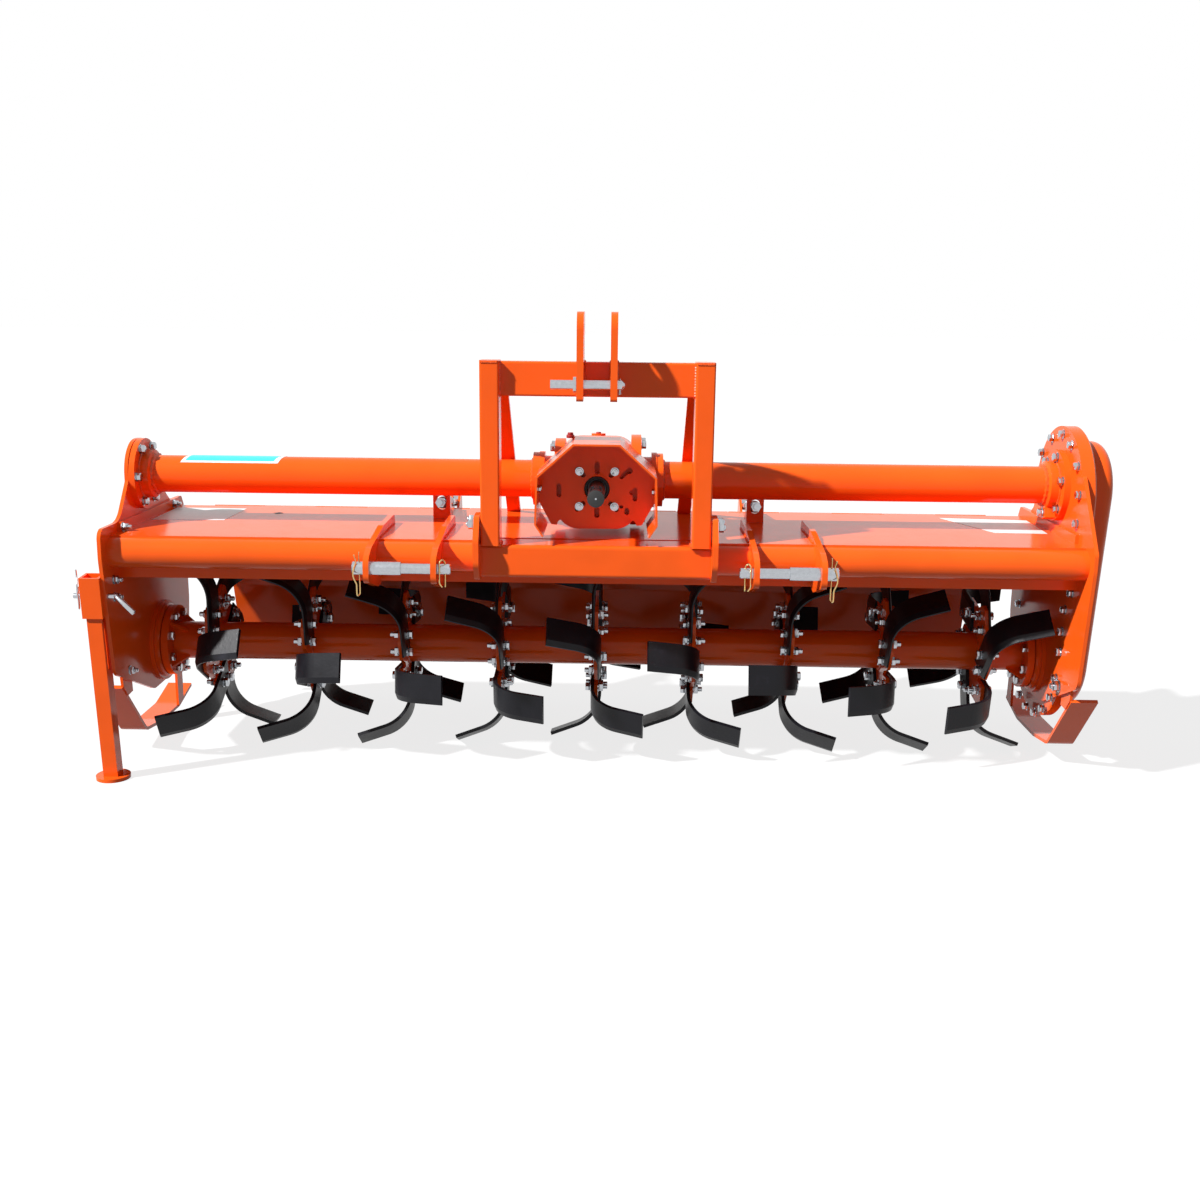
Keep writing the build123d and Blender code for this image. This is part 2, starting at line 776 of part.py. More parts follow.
def knuckle_spans(parity):
    """Spans of every other knuckle along the hinge, from its middle outwards."""
    spans = [(-knuckle_pitch / 2, knuckle_pitch / 2)] if parity == 0 else []
    count = int(board_half_width / knuckle_pitch + 0.5)
    for k in range(1, count + 1):
        if k % 2 == parity:
            start = (k - 0.5) * knuckle_pitch + knuckle_gap
            end = min((k + 0.5) * knuckle_pitch - knuckle_gap, board_half_width)
            spans.extend([(start, end), (-end, -start)])
    return spans


with BuildPart() as hinge_knuckles:
    for start, end in knuckle_spans(0):
        with BuildSketch(across(start)):
            with BuildLine():
                Polyline(
                    (deck_rear, deck_top),
                    (hinge_y, hinge_z + knuckle_radius),
                    (hinge_y, hinge_z),
                    (deck_rear, deck_top - deck_thick),
                    close=True,
                )
            make_face()
            with Locations((hinge_y, hinge_z)):
                Circle(knuckle_radius)
                Circle(hinge_rod_radius + knuckle_bore_gap, mode=Mode.SUBTRACT)
        extrude(amount=end - start)
keep("hinge_knuckles", hinge_knuckles)

with BuildPart() as hinge_rod:
    with BuildSketch(across(-board_half_width - 6)):
        with Locations((hinge_y, hinge_z)):
            Circle(hinge_rod_radius)
    extrude(amount=2 * (board_half_width + 6))
keep("hinge_rod", hinge_rod)

board_fold = (axis_y + board_fold_behind, axis_z + board_fold_rise)
board_edge = (axis_y + board_edge_behind, axis_z - board_edge_drop)
board_start = (hinge_y + 12, hinge_z - 24)
with BuildPart() as trailing_board:
    with BuildSketch(across(-board_half_width)):
        with BuildLine():
            FilletPolyline(board_start, board_fold, board_edge, radius=30)
            offset(amount=board_thick, side=Side.LEFT, closed=True)
        make_face()
        with Locations(board_edge):
            Circle(board_bead_radius)
    extrude(amount=2 * board_half_width)
    for start, end in knuckle_spans(1):
        with BuildSketch(across(start)):
            with BuildLine():
                Polyline(
                    (hinge_y - knuckle_radius * 0.6, hinge_z - knuckle_radius * 0.8),
                    (board_start[0] + 4, board_start[1] - 10),
                    (board_start[0] + 10, board_start[1] - 6),
                    (hinge_y + knuckle_radius, hinge_z),
                    close=True,
                )
            make_face()
            with Locations((hinge_y, hinge_z)):
                Circle(knuckle_radius)
        extrude(amount=end - start)
    lug_sides = [side * rod_x + shift for side in (-1, 1)
                 for shift in (-lug_gap - lug_thick, lug_gap)]
    with BuildSketch(*[across(x) for x in lug_sides]):
        with BuildLine():
            FilletPolyline(
                (axis_y + lug_foot_behind, axis_z + lug_foot_rise),
                (axis_y + lug_toe_behind, axis_z + lug_toe_rise),
                (rod_eye_y + 20, rod_eye_z - 30),
                (rod_eye_y + 15, rod_eye_z + 16),
                (rod_eye_y - 16, rod_eye_z + 16),
                (axis_y + lug_back_behind, axis_z + lug_back_rise),
                radius=[0, 0, 20, 12, 12, 20],
                close=True,
            )
        make_face()
    extrude(amount=lug_thick)
    with BuildSketch(*[across(side * rod_x - lug_gap - lug_thick) for side in (-1, 1)]):
        with Locations((rod_eye_y, rod_eye_z)):
            Circle(lug_pin_radius)
    extrude(amount=2 * (lug_gap + lug_thick))
    with BuildSketch(across(-board_half_width)):
        with Locations((hinge_y, hinge_z)):
            Circle(hinge_rod_radius + knuckle_bore_gap)
    extrude(amount=2 * board_half_width, mode=Mode.SUBTRACT)
keep("trailing_board", trailing_board)

# ---- board rods ---------------------------------------------------------------------------

rod_slope = degrees(atan2(rod_eye_z - rod_bracket_z, rod_eye_y - rod_bracket_y))
rod_length = sqrt((rod_eye_z - rod_bracket_z) ** 2 + (rod_eye_y - rod_bracket_y) ** 2)

for name, side in (("rod_bracket_left", -1), ("rod_bracket_right", 1)):
    with BuildPart() as rod_bracket:
        with BuildSketch(Plane.XZ.offset(-rod_bracket_y - rod_bracket_thick / 2)):
            with BuildLine():
                x = side * rod_x
                half = rod_bracket_width / 2
                FilletPolyline(
                    (x - half, deck_top),
                    (x - half, rod_bracket_z + 28),
                    (x + half, rod_bracket_z + 28),
                    (x + half, deck_top),
                    radius=[0, 12, 12, 0],
                    close=True,
                )
            make_face()
            with Locations((side * rod_x, rod_bracket_z)):
                SlotCenterToCenter(12, 2 * rod_radius + 8, rotation=90, mode=Mode.SUBTRACT)
        extrude(amount=rod_bracket_thick)
        with BuildSketch(across(side * rod_x - half), across(side * rod_x + half - 5)):
            with BuildLine():
                Polyline(
                    (rod_bracket_y + rod_bracket_thick / 2, deck_top),
                    (rod_bracket_y + 50, deck_top),
                    (rod_bracket_y + rod_bracket_thick / 2, deck_top + 46),
                    close=True,
                )
            make_face()
        extrude(amount=5)
    keep(name, rod_bracket)

for name, side in (("board_rod_left", -1), ("board_rod_right", 1)):
    with BuildPart() as board_rod:
        along = Plane(
            origin=(side * rod_x, rod_eye_y, rod_eye_z),
            x_dir=(1, 0, 0),
            z_dir=(0, -cos(radians(rod_slope)), -sin(radians(rod_slope))),
        )
        with BuildSketch(along.offset(rod_eye_radius - 2)):
            Circle(rod_radius)
        extrude(amount=rod_length + rod_front_end - rod_eye_radius + 2)
        nut_start = rod_length + rod_bracket_thick / 2 + 1.5
        with BuildSketch(along.offset(nut_start), along.offset(nut_start + rod_nut_thick + 1)):
            RegularPolygon(rod_nut_radius, 6)
        extrude(amount=rod_nut_thick)
        with BuildSketch(along.offset(rod_length - 110)):
            Circle(rod_nut_radius + 3)
        extrude(amount=5)
        with BuildSketch(across(side * rod_x - rod_eye_half)):
            with Locations((rod_eye_y, rod_eye_z)):
                Circle(rod_eye_radius)
        extrude(amount=2 * rod_eye_half)
        with BuildSketch(across(side * rod_x - rod_eye_half)):
            with Locations((rod_eye_y, rod_eye_z)):
                Circle(lug_pin_radius + fit_gap)
        extrude(amount=2 * rod_eye_half, mode=Mode.SUBTRACT)
    keep(name, board_rod)

# ---- skids --------------------------------------------------------------------------------

# middle line of the bent strap: y, z from the axis, radius of the bend
skid_line = [
    (-246, -43, 0),
    (-118, -183, 26),
    (-20, -196, 60),
    (110, -196, 60),
    (208, -172, 0),
]
# tabs that hold each strap's ends on its plate, the right one clear of the gear case
front_tab = [(-249, -46), (-226, -72), (-196, -70), (-200, -24), (-232, 12), (-258, 6)]
left_rear_tab = [(98, -199), (136, -193), (136, -92), (126, -68), (108, -68), (98, -92)]
right_rear_tab = [(160, -187), (196, -178), (190, -70), (176, -44), (160, -44), (164, -100)]
for name, side, rear_tab in (
    ("skid_left", -1, left_rear_tab),
    ("skid_right", 1, right_rear_tab),
):
    with BuildPart() as skid:
        tab_start = plate_inner + plate_thick
        with BuildSketch(across(side * (tab_start + skid_gap))):
            with BuildLine():
                FilletPolyline(
                    *from_axis([(y, z) for y, z, _ in skid_line]),
                    radius=[r for _, _, r in skid_line[1:-1]],
                )
                offset(amount=skid_thick, side=Side.RIGHT, closed=True)
            make_face()
        extrude(amount=side * skid_width)
        with BuildSketch(across(side * tab_start)):
            for tab in (front_tab, rear_tab):
                with BuildLine():
                    Polyline(*from_axis(tab), close=True)
                make_face()
        extrude(amount=side * skid_tab_thick)
    keep(name, skid)

# ---- parking stand ------------------------------------------------------------------------

stand_x = -(plate_inner + plate_thick + stand_sleeve_side / 2)
stand_up = (0, -sin(radians(stand_tilt)), cos(radians(stand_tilt)))
stand_foot_y = stand_pin_y + (stand_pin_z - stand_foot_thick) * tan(radians(stand_tilt))
stand_base = Plane(origin=(stand_x, stand_foot_y, stand_foot_thick), x_dir=(1, 0, 0),
                   z_dir=stand_up)
pin_height = (stand_pin_z - stand_foot_thick) / cos(radians(stand_tilt))
sleeve_length = 90.0
leg_length = pin_height + sleeve_length / 2 - 10

with BuildPart() as stand_sleeve:
    with BuildSketch(stand_base.offset(pin_height - sleeve_length / 2)):
        Rectangle(stand_sleeve_side, stand_sleeve_side)
        Rectangle(stand_leg_side + 1, stand_leg_side + 1, mode=Mode.SUBTRACT)
    extrude(amount=sleeve_length)
    with BuildSketch(across(stand_x - stand_sleeve_side)):
        with Locations((stand_pin_y, stand_pin_z)):
            Circle(stand_pin_radius + fit_gap)
    extrude(amount=2 * stand_sleeve_side, mode=Mode.SUBTRACT)
keep("stand_sleeve", stand_sleeve)

with BuildPart() as stand_leg:
    with BuildSketch(stand_base.offset(-2)):
        Rectangle(stand_leg_side, stand_leg_side)
        Rectangle(stand_leg_side - 2 * stand_leg_wall, stand_leg_side - 2 * stand_leg_wall,
                  mode=Mode.SUBTRACT)
    extrude(amount=leg_length + 2)
    with BuildSketch(Plane.XY):
        with Locations((stand_x, stand_foot_y)):
            Circle(stand_foot_radius)
    extrude(amount=stand_foot_thick)
    slot_middle = pin_height - stand_travel / 2
    with Locations(stand_base * Location((0, 0, slot_middle))):
        Box(stand_leg_side * 1.1, 2 * stand_pin_radius + 1, stand_travel + 2 * stand_pin_radius + 2,
            mode=Mode.SUBTRACT)
keep("stand_leg", stand_leg)

with BuildPart() as stand_pin:
    pin_start = stand_x - stand_sleeve_side / 2 - 22
    with BuildSketch(across(pin_start)):
        with Locations((stand_pin_y, stand_pin_z)):
            Circle(stand_pin_radius)
    extrude(amount=-plate_inner + 18 - pin_start)
keep("stand_pin", stand_pin)

# ---- bearings at the rotor's ends ---------------------------------------------------------

journal_radius = 30.0
cap_radius = 62.0
cap_thick = 14.0
for name, side in (("bearing_left", -1), ("bearing_right", 1)):
    with BuildPart() as bearing:
        face = plate_inner - bearing_thick
        with BuildSketch(across(side * face)):
            with Locations((axis_y, axis_z)):
                Circle(bearing_radius)
        extrude(amount=side * bearing_thick)
        chamfer(bearing.faces().sort_by(Axis.X)[-1 if side < 0 else 0].edges(), 4)
        with BuildSketch(across(side * (plate_inner - bearing_base_thick))):
            with Locations((axis_y, axis_z)):
                Circle(bearing_base_radius)
        extrude(amount=side * bearing_base_thick)
        if side < 0:
            with BuildSketch(across(-plate_inner - plate_thick)):
                with Locations((axis_y, axis_z)):
                    Circle(cap_radius)
            extrude(amount=-cap_thick)
            chamfer(bearing.faces().sort_by(Axis.X)[0].edges(), 4)
        with BuildSketch(across(side * face)):
            with Locations((axis_y, axis_z)):
                Circle(journal_radius + fit_gap)
        extrude(amount=side * (bearing_thick - 4), mode=Mode.SUBTRACT)
    keep(name, bearing)

# ---- rotor --------------------------------------------------------------------------------

rotor_end = plate_inner - bearing_thick - bearing_gap
flange_places = [(k - (flange_count - 1) / 2) * flange_pitch for k in range(flange_count)]

with BuildPart() as rotor_tube:
    with BuildSketch(across(-rotor_end + rotor_end_thick)):
        with Locations((axis_y, axis_z)):
            Circle(rotor_tube_radius)
            Circle(rotor_tube_radius - rotor_tube_wall, mode=Mode.SUBTRACT)
    extrude(amount=2 * (rotor_end - rotor_end_thick))
    for k, x in enumerate(flange_places):
        with BuildSketch(across(x - flange_thick / 2)):
            with Locations((axis_y, axis_z)):
                Circle(flange_core_radius)
            for n in range(2 * blades_per_side):
                # a shank at this angle from the front, its middle line on the leading side
                angle = radians(first_blade_angle + helix_step * k + 180 / blades_per_side * n)
                along = Vector(-cos(angle), -sin(angle))
                ahead = Vector(sin(angle), -cos(angle))
                hub = Vector(axis_y, axis_z)
                arm = [
                    hub + ahead * (blade_offset + side * flange_arm_width / 2) + along * reach
                    for side, reach in ((-1, 0), (-1, flange_arm_end), (0.5, flange_arm_end),
                                        (1, flange_arm_end - 14), (1, 30), (0, 0))
                ]
                Polygon(*[(corner.X, corner.Y) for corner in arm], align=None)
            with Locations((axis_y, axis_z)):
                Circle(rotor_tube_radius - 1, mode=Mode.SUBTRACT)
        extrude(amount=flange_thick)
    with BuildSketch(across(-rotor_end), across(rotor_end - rotor_end_thick)):
        with Locations((axis_y, axis_z)):
            Circle(rotor_end_radius)
    extrude(amount=rotor_end_thick)
    for side in (-1, 1):
        with BuildSketch(across(side * rotor_end)):
            with Locations((axis_y, axis_z)):
                Circle(journal_radius)
        extrude(amount=side * (bearing_gap + bearing_thick - 6))
        for turn in range(4):
            rib = Plane(origin=(0, axis_y, axis_z), x_dir=(side, 0, 0),
                        z_dir=(0, cos(radians(45 + 90 * turn)), sin(radians(45 + 90 * turn))))
            with BuildSketch(rib.offset(-3)):
                with BuildLine():
                    Polyline(
                        (rotor_end - rotor_end_thick + 1, rotor_tube_radius - 2),
                        (rotor_end - rotor_end_thick + 1, rotor_end_radius - 8),
                        (rotor_end - rotor_end_thick, rotor_end_radius - 8),
                        (rotor_end - rotor_end_thick - gusset_reach, rotor_tube_radius + 2),
                        (rotor_end - rotor_end_thick - gusset_reach, rotor_tube_radius - 2),
                        close=True,
                    )
                make_face()
            extrude(amount=6)
keep("rotor_tube", rotor_tube)

blade_middle_x = flange_thick / 2 + blade_thick / 2
# the ground edge takes the outer corner away, so the tip stands out by as much again
blade_tip_height = sqrt(tip_radius ** 2 - (blade_offset + blade_width / 2) ** 2) + blade_edge_depth
bend = radians(blade_bend_angle)
blade_tail = (blade_reach + blade_middle_x - blade_bend_radius * (1 - cos(bend))) / sin(bend)
blade_straight_end = (
    blade_tip_height
    - blade_bend_radius * sin(bend)
    - blade_tail * cos(bend)
    - blade_thick / 2 * sin(bend)
)


def blade_profile(side):
    """Closed outline of a blade in its own X and radial coordinates, bending to the side."""
    centre = (side * (blade_bend_radius - blade_middle_x), blade_straight_end)
    turn = -side * blade_bend_angle
    begin = 180 if side > 0 else 0
    corners = []
    for radius in (blade_bend_radius + blade_thick / 2, blade_bend_radius - blade_thick / 2):
        end_angle = radians(begin + turn)
        foot = (centre[0] - side * radius, blade_root)
        shoulder = (centre[0] - side * radius, blade_straight_end)
        leave = (centre[0] + radius * cos(end_angle), centre[1] + radius * sin(end_angle))
        tip = (leave[0] + side * blade_tail * sin(bend), leave[1] + blade_tail * cos(bend))
        corners.append((foot, shoulder, leave, tip, radius))
    (foot_o, shoulder_o, leave_o, tip_o, radius_o), (foot_i, shoulder_i, leave_i, tip_i, radius_i) = corners
    Line(foot_o, shoulder_o)
    CenterArc(centre, radius_o, begin, turn)
    Line(leave_o, tip_o)
    Line(tip_o, tip_i)
    Line(tip_i, leave_i)
    CenterArc(centre, radius_i, begin, turn)
    Line(shoulder_i, foot_i)
    Line(foot_i, foot_o)


def bend_distance(edge, side):
    """How far an edge's arc or line runs from the axis that the blade is bent round."""
    if edge.geom_type == GeomType.CIRCLE:
        return edge.radius
    start = edge.position_at(0)
    centre = Vector(side * (blade_bend_radius - blade_middle_x), start.Y, blade_straight_end)
    return abs((centre - start).cross(edge.tangent_at(0)).Y)


blades = {}
for side in (-1, 1):
    with BuildPart() as blade:
        with BuildSketch(Plane.XZ.offset(blade_offset - blade_width / 2)):
            with BuildLine():
                blade_profile(side)
            make_face()
        extrude(amount=blade_width)
        with BuildSketch(Plane.YZ):
            with BuildLine():
                Polyline(
                    (-blade_offset + blade_width / 2, blade_root),
                    (-blade_offset - blade_width / 2, blade_root + blade_root_slant),
                    (-blade_offset - blade_width / 2, blade_root),
                    close=True,
                )
            make_face()
        extrude(amount=blade_reach, both=True, mode=Mode.SUBTRACT)
        leading_face = blade.faces().sort_by(Axis.Y)[0]
        outer_edges = leading_face.edges().filter_by(
            lambda edge: abs(bend_distance(edge, side) - blade_bend_radius - blade_thick / 2) < 0.01
        )
        chamfer(outer_edges, blade_edge_depth, blade_edge, reference=leading_face)
    blades[side] = blade

for group, name in enumerate(("blades_left", "blades_middle", "blades_right")):
    with BuildPart() as blade_group:
        for k in range(3 * group, 3 * group + 3):
            for side, lag in ((1, 0.0), (-1, left_blade_lag)):
                for n in range(blades_per_side):
                    angle = first_blade_angle + helix_step * k - lag + 120.0 * n
                    place = Location((flange_places[k], axis_y, axis_z), (90 + angle, 0, 0))
                    with Locations(place):
                        add(blades[side].part)
    keep(name, blade_group)

for name, piece in nodes.items():
    export_step(piece.part, f"parts/{name}.step")
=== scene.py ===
"""Rotavator: enamel, black blades, zinc fasteners, welds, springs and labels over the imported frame.

The file is laid out as an add-on and run as a script. Lengths are metres, in the machine's frame:
+X to its right, -Y towards the tractor, +Z up, with the floor at Z = 0.
"""

import json
from math import atan2, cos, pi, radians, sin

import bmesh
import bpy
from mathutils import Matrix, Vector


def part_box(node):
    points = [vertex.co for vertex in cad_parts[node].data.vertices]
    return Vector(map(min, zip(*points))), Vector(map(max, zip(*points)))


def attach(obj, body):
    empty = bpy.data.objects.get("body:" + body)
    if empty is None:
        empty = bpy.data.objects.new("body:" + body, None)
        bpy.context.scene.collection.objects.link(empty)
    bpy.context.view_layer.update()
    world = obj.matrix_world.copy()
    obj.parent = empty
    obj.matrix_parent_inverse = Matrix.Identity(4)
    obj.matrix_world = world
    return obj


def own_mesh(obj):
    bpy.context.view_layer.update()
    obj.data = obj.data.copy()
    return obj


bl_info = {
    "name": "Rotavator dressing",
    "version": (1, 0, 0),
    "blender": (4, 5, 0),
    "location": "3D View > Sidebar > Rotavator",
    "description": "Paints and details a tractor-mounted rotary tiller",
    "category": "Object",
}

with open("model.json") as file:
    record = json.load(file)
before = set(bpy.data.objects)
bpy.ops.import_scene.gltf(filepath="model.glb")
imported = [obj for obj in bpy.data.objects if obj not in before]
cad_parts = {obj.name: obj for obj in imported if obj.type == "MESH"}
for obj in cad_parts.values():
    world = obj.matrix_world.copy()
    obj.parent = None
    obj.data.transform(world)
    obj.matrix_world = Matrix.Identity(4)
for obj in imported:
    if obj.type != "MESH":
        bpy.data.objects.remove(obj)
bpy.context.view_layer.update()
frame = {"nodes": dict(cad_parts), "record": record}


def middle(node):
    """The middle of a CAD node's box."""
    low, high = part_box(node)
    return (low + high) / 2


# ---- places read from the frame, and sizes that match it ----------------------------------

ACROSS = Vector((1, 0, 0))
ROTOR = middle("rotor_tube")            # a point on the rotor's axis
BEAM = middle("beam_tube_left")         # a point on the upper tubes' axis
SHAFT = middle("input_shaft")
PLATE_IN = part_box("right_side_plate")[0].x
PLATE_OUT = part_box("right_side_plate")[1].x
DECK_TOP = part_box("rod_bracket_left")[0].z

BEAM_RADIUS = 0.042
BEAM_FLANGE_FACE = PLATE_IN - 0.014     # inner face of the flange at a tube's outer end
BEAM_COLLAR_END = PLATE_IN - 0.040
# middle of the inner face of the lug under the right collar
BEAM_LUG = Vector((PLATE_IN - 0.038, BEAM.y - 0.0195, BEAM.z - 0.0599))

FLANGES = 9
NODE_FLANGES = 3                        # flanges whose blades share a CAD node
MIDDLE_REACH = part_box("blades_middle")[1].x
FLANGE_PITCH = (-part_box("blades_left")[0].x - MIDDLE_REACH) / NODE_FLANGES
FLANGE_HALF = 0.004
BLADE_THICK = 0.008
BLADE_OFFSET = 0.076                    # from the rotor's axis to a shank's middle line
BLADES_PER_SIDE = 3
FIRST_SHANK = radians(-32)              # first right-bending shank, from the front downwards
HELIX_STEP = radians(12.7)
LEFT_LAG = radians(60)                  # of a flange's left-bending shanks


def mm(x, y, z):
    """A place in millimetres from the rotor's axis and the machine's middle plane."""
    return Vector((x / 1000, ROTOR.y + y / 1000, ROTOR.z + z / 1000))


def flange_centre(flange, x=0.0):
    """The point where a rotor flange's middle, or a plane beside it, crosses the rotor's axis."""
    return Vector(((flange - (FLANGES - 1) / 2) * FLANGE_PITCH + x, ROTOR.y, ROTOR.z))


def shank_place(flange, lag, third, along, ahead, x):
    """A place on a blade's shank: along its middle line, ahead of it, and across the machine."""
    turn = FIRST_SHANK + HELIX_STEP * flange - lag + 2 * pi / BLADES_PER_SIDE * third
    reach = Vector((0, -cos(turn), -sin(turn))) * along
    lead = Vector((0, sin(turn), -cos(turn))) * (BLADE_OFFSET + ahead)
    return flange_centre(flange, x) + reach + lead


# ---- mesh helpers -------------------------------------------------------------------------

WIRE_SEGMENTS = 8
BEND_STEP = 0.35                        # radians of a wire's bend to a step, roughly
COIL_STEPS = 18                         # steps to a spring's turn
BEAD_SEGMENTS = 6
BEAD_STEP = 0.8                         # a straight weld's step, as a share of its radius
RIPPLE = 0.16                           # half a weld's ripple, as a share of its radius

# a bolt's proportions, as shares of its width across the flats
WASHER_RADIUS = 0.68
WASHER_THICK = 0.12
HEAD_HEIGHT = 0.6
HEAD_RIM = 0.05
STUB_RADIUS = 0.3
STUB_RIM = 0.04
THREAD_RADIUS = 0.33
THREAD_THICK = 0.05
THREAD_PITCH = 0.12
FIRST_THREAD = 0.3                      # of a pitch up the stub

SMOOTH_UNDER = radians(34)


def aim(place, direction, spin=0.0):
    """The transform that carries +Z at the origin to a direction at a place."""
    turn = Vector(direction).to_track_quat("Z", "Y").to_matrix().to_4x4()
    return Matrix.Translation(place) @ turn @ Matrix.Rotation(spin, 4, "Z")


def rod(bm, matrix, radius, length, segments=24, rim=0.0):
    """A round or many-sided bar from the origin along +Z, its rims bevelled."""
    made = bmesh.ops.create_cone(
        bm, cap_ends=True, segments=segments, radius1=radius, radius2=radius, depth=length,
        matrix=matrix @ Matrix.Translation((0, 0, length / 2)))
    if rim:
        caps = {face for vert in made["verts"] for face in vert.link_faces
                if len(face.verts) == segments}
        edges = list({edge for face in caps for edge in face.edges})
        bmesh.ops.bevel(bm, geom=edges, offset=rim, segments=2, profile=0.5,
                        affect="EDGES", material=-1)


def ring_profile(bm, matrix, radius, segments):
    """An open circle, as the geometry that a sweep starts from."""
    made = bmesh.ops.create_circle(bm, cap_ends=False, radius=radius, segments=segments,
                                   matrix=matrix)
    edges = list({edge for vert in made["verts"] for edge in vert.link_edges})
    return made["verts"] + edges


def side_profile(bm, matrix, reach, radius, segments):
    """An open circle some way off the matrix's Z axis, to be swept round it."""
    place = matrix @ Matrix.Translation((reach, 0, 0)) @ Matrix.Rotation(pi / 2, 4, "X")
    return ring_profile(bm, place, radius, segments)


def close_ends(bm):
    """Close the open ends of what was swept."""
    ends = [edge for edge in bm.edges if edge.is_boundary]
    bmesh.ops.holes_fill(bm, edges=ends, sides=0)


def wire(bm, matrix, radius, moves):
    """A bent wire along +Z: moves are ("run", length) or ("turn", bend radius, angle)."""
    last = ring_profile(bm, matrix, radius, WIRE_SEGMENTS)
    here = matrix.copy()
    for kind, *values in moves:
        if kind == "run":
            way = here.to_3x3() @ Vector((0, 0, values[0]))
            last = bmesh.ops.spin(bm, geom=last, cent=(0, 0, 0), axis=(0, 0, 1), dvec=way,
                                  angle=0, steps=1)["geom_last"]
            here = Matrix.Translation(way) @ here
            continue
        bend, angle = values
        side = 1 if angle > 0 else -1
        centre = here @ Vector((side * bend, 0, 0))
        axis = here.to_3x3() @ Vector((0, 1, 0))
        steps = max(2, int(abs(angle) / BEND_STEP))
        last = bmesh.ops.spin(bm, geom=last, cent=centre, axis=axis, angle=angle,
                              steps=steps)["geom_last"]
        about = Matrix.Translation(centre) @ Matrix.Rotation(angle, 4, axis)
        here = about @ Matrix.Translation(-centre) @ here
    close_ends(bm)


def coil(bm, start, end, radius, wire_radius, turns):
    """A spring of round wire between two places."""
    way = end - start
    profile = side_profile(bm, aim(start, way), radius, wire_radius, WIRE_SEGMENTS)
    steps = int(turns * COIL_STEPS)
    bmesh.ops.spin(bm, geom=profile, cent=start, axis=way.normalized(), dvec=way / steps,
                   angle=2 * pi * turns, steps=steps)
    close_ends(bm)


def ripple(step):
    """A weld's swell along its run: full at the even steps, slack at the odd ones."""
    return 1 - RIPPLE + RIPPLE * cos(pi * round(step))


def bead(bm, start, end, radius, short=0.0):
    """A straight weld bead, rippled along its run, that stops short of both places."""
    heading = (end - start).normalized()
    start = start + heading * short
    way = end - heading * short - start
    steps = max(4, int(way.length / (BEAD_STEP * radius)))
    before = len(bm.verts)
    profile = ring_profile(bm, aim(start, way), radius, BEAD_SEGMENTS)
    bmesh.ops.spin(bm, geom=profile, cent=start, axis=heading, dvec=way / steps, angle=0,
                   steps=steps)
    bm.verts.ensure_lookup_table()
    for vert in bm.verts[before:]:
        along = (vert.co - start).dot(heading)
        foot = start + heading * along
        vert.co = foot + (vert.co - foot) * ripple(along / way.length * steps)
    close_ends(bm)


def ring_bead(bm, centre, ring_radius, radius):
    """A rippled weld bead round a tube that lies across the machine."""
    matrix = aim(centre, ACROSS)
    before = len(bm.verts)
    profile = side_profile(bm, matrix, ring_radius, radius, BEAD_SEGMENTS)
    steps = 2 * int(pi * ring_radius / radius)
    bmesh.ops.spin(bm, geom=profile, cent=centre, axis=ACROSS, angle=2 * pi, steps=steps,
                   use_merge=True)
    bm.verts.ensure_lookup_table()
    back = matrix.inverted()
    for vert in bm.verts[before:]:
        local = back @ vert.co
        turn = atan2(local.y, local.x) % (2 * pi)
        foot = Vector((cos(turn), sin(turn), 0)) * ring_radius
        vert.co = matrix @ (foot + (local - foot) * ripple(turn / (2 * pi) * steps))


def bolt_master(flats, stub=0.0):
    """A small mesh to be stamped: a hexagon on its washer, with a thread's end where one shows."""
    bm = bmesh.new()
    rod(bm, Matrix(), flats * WASHER_RADIUS, flats * WASHER_THICK, segments=20)
    lift = Matrix.Translation((0, 0, flats * WASHER_THICK))
    rod(bm, lift, flats / 3 ** 0.5, flats * HEAD_HEIGHT, segments=6, rim=flats * HEAD_RIM)
    if stub:
        top = flats * (WASHER_THICK + HEAD_HEIGHT)
        pitch = flats * THREAD_PITCH
        rod(bm, Matrix.Translation((0, 0, top)), flats * STUB_RADIUS, stub, segments=12,
            rim=flats * STUB_RIM)
        for thread in range(int(stub / pitch)):
            place = Matrix.Translation((0, 0, top + (thread + FIRST_THREAD) * pitch))
            rod(bm, place, flats * THREAD_RADIUS, flats * THREAD_THICK, segments=12)
    bmesh.ops.recalc_face_normals(bm, faces=bm.faces)
    mesh = bpy.data.meshes.new("master")
    bm.to_mesh(mesh)
    bm.free()
    return mesh


def stamp(bm, mesh, matrix):
    """Add a copy of a master mesh at a place."""
    before = len(bm.verts)
    bm.from_mesh(mesh)
    bm.verts.ensure_lookup_table()
    bmesh.ops.transform(bm, matrix=matrix, verts=bm.verts[before:])


def bolt_ring(bm, head, centre, facing, radius, count, first, lead=1):
    """Bolts round an axis that lies across the machine.

    The first stands at an angle up from the rear, or up from the front where lead is -1.
    """
    for turn in range(count):
        angle = first + 2 * pi * turn / count
        place = centre + Vector((0, lead * cos(angle), sin(angle))) * radius
        stamp(bm, head, aim(place, (facing, 0, 0), angle))


def piece(name, bm, finish, body):
    """Finish a bmesh as a piece that rides on a body."""
    bmesh.ops.recalc_face_normals(bm, faces=bm.faces)
    mesh = bpy.data.meshes.new(name)
    bm.to_mesh(mesh)
    bm.free()
    mesh.polygons.foreach_set("use_smooth", [True] * len(mesh.polygons))
    mesh.set_sharp_from_angle(angle=SMOOTH_UNDER)
    mesh.materials.append(material(finish))
    made = bpy.data.objects.new(name, mesh)
    bpy.context.scene.collection.objects.link(made)
    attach(made, body)
    return made


# ---- sizes and colours a user would change ------------------------------------------------


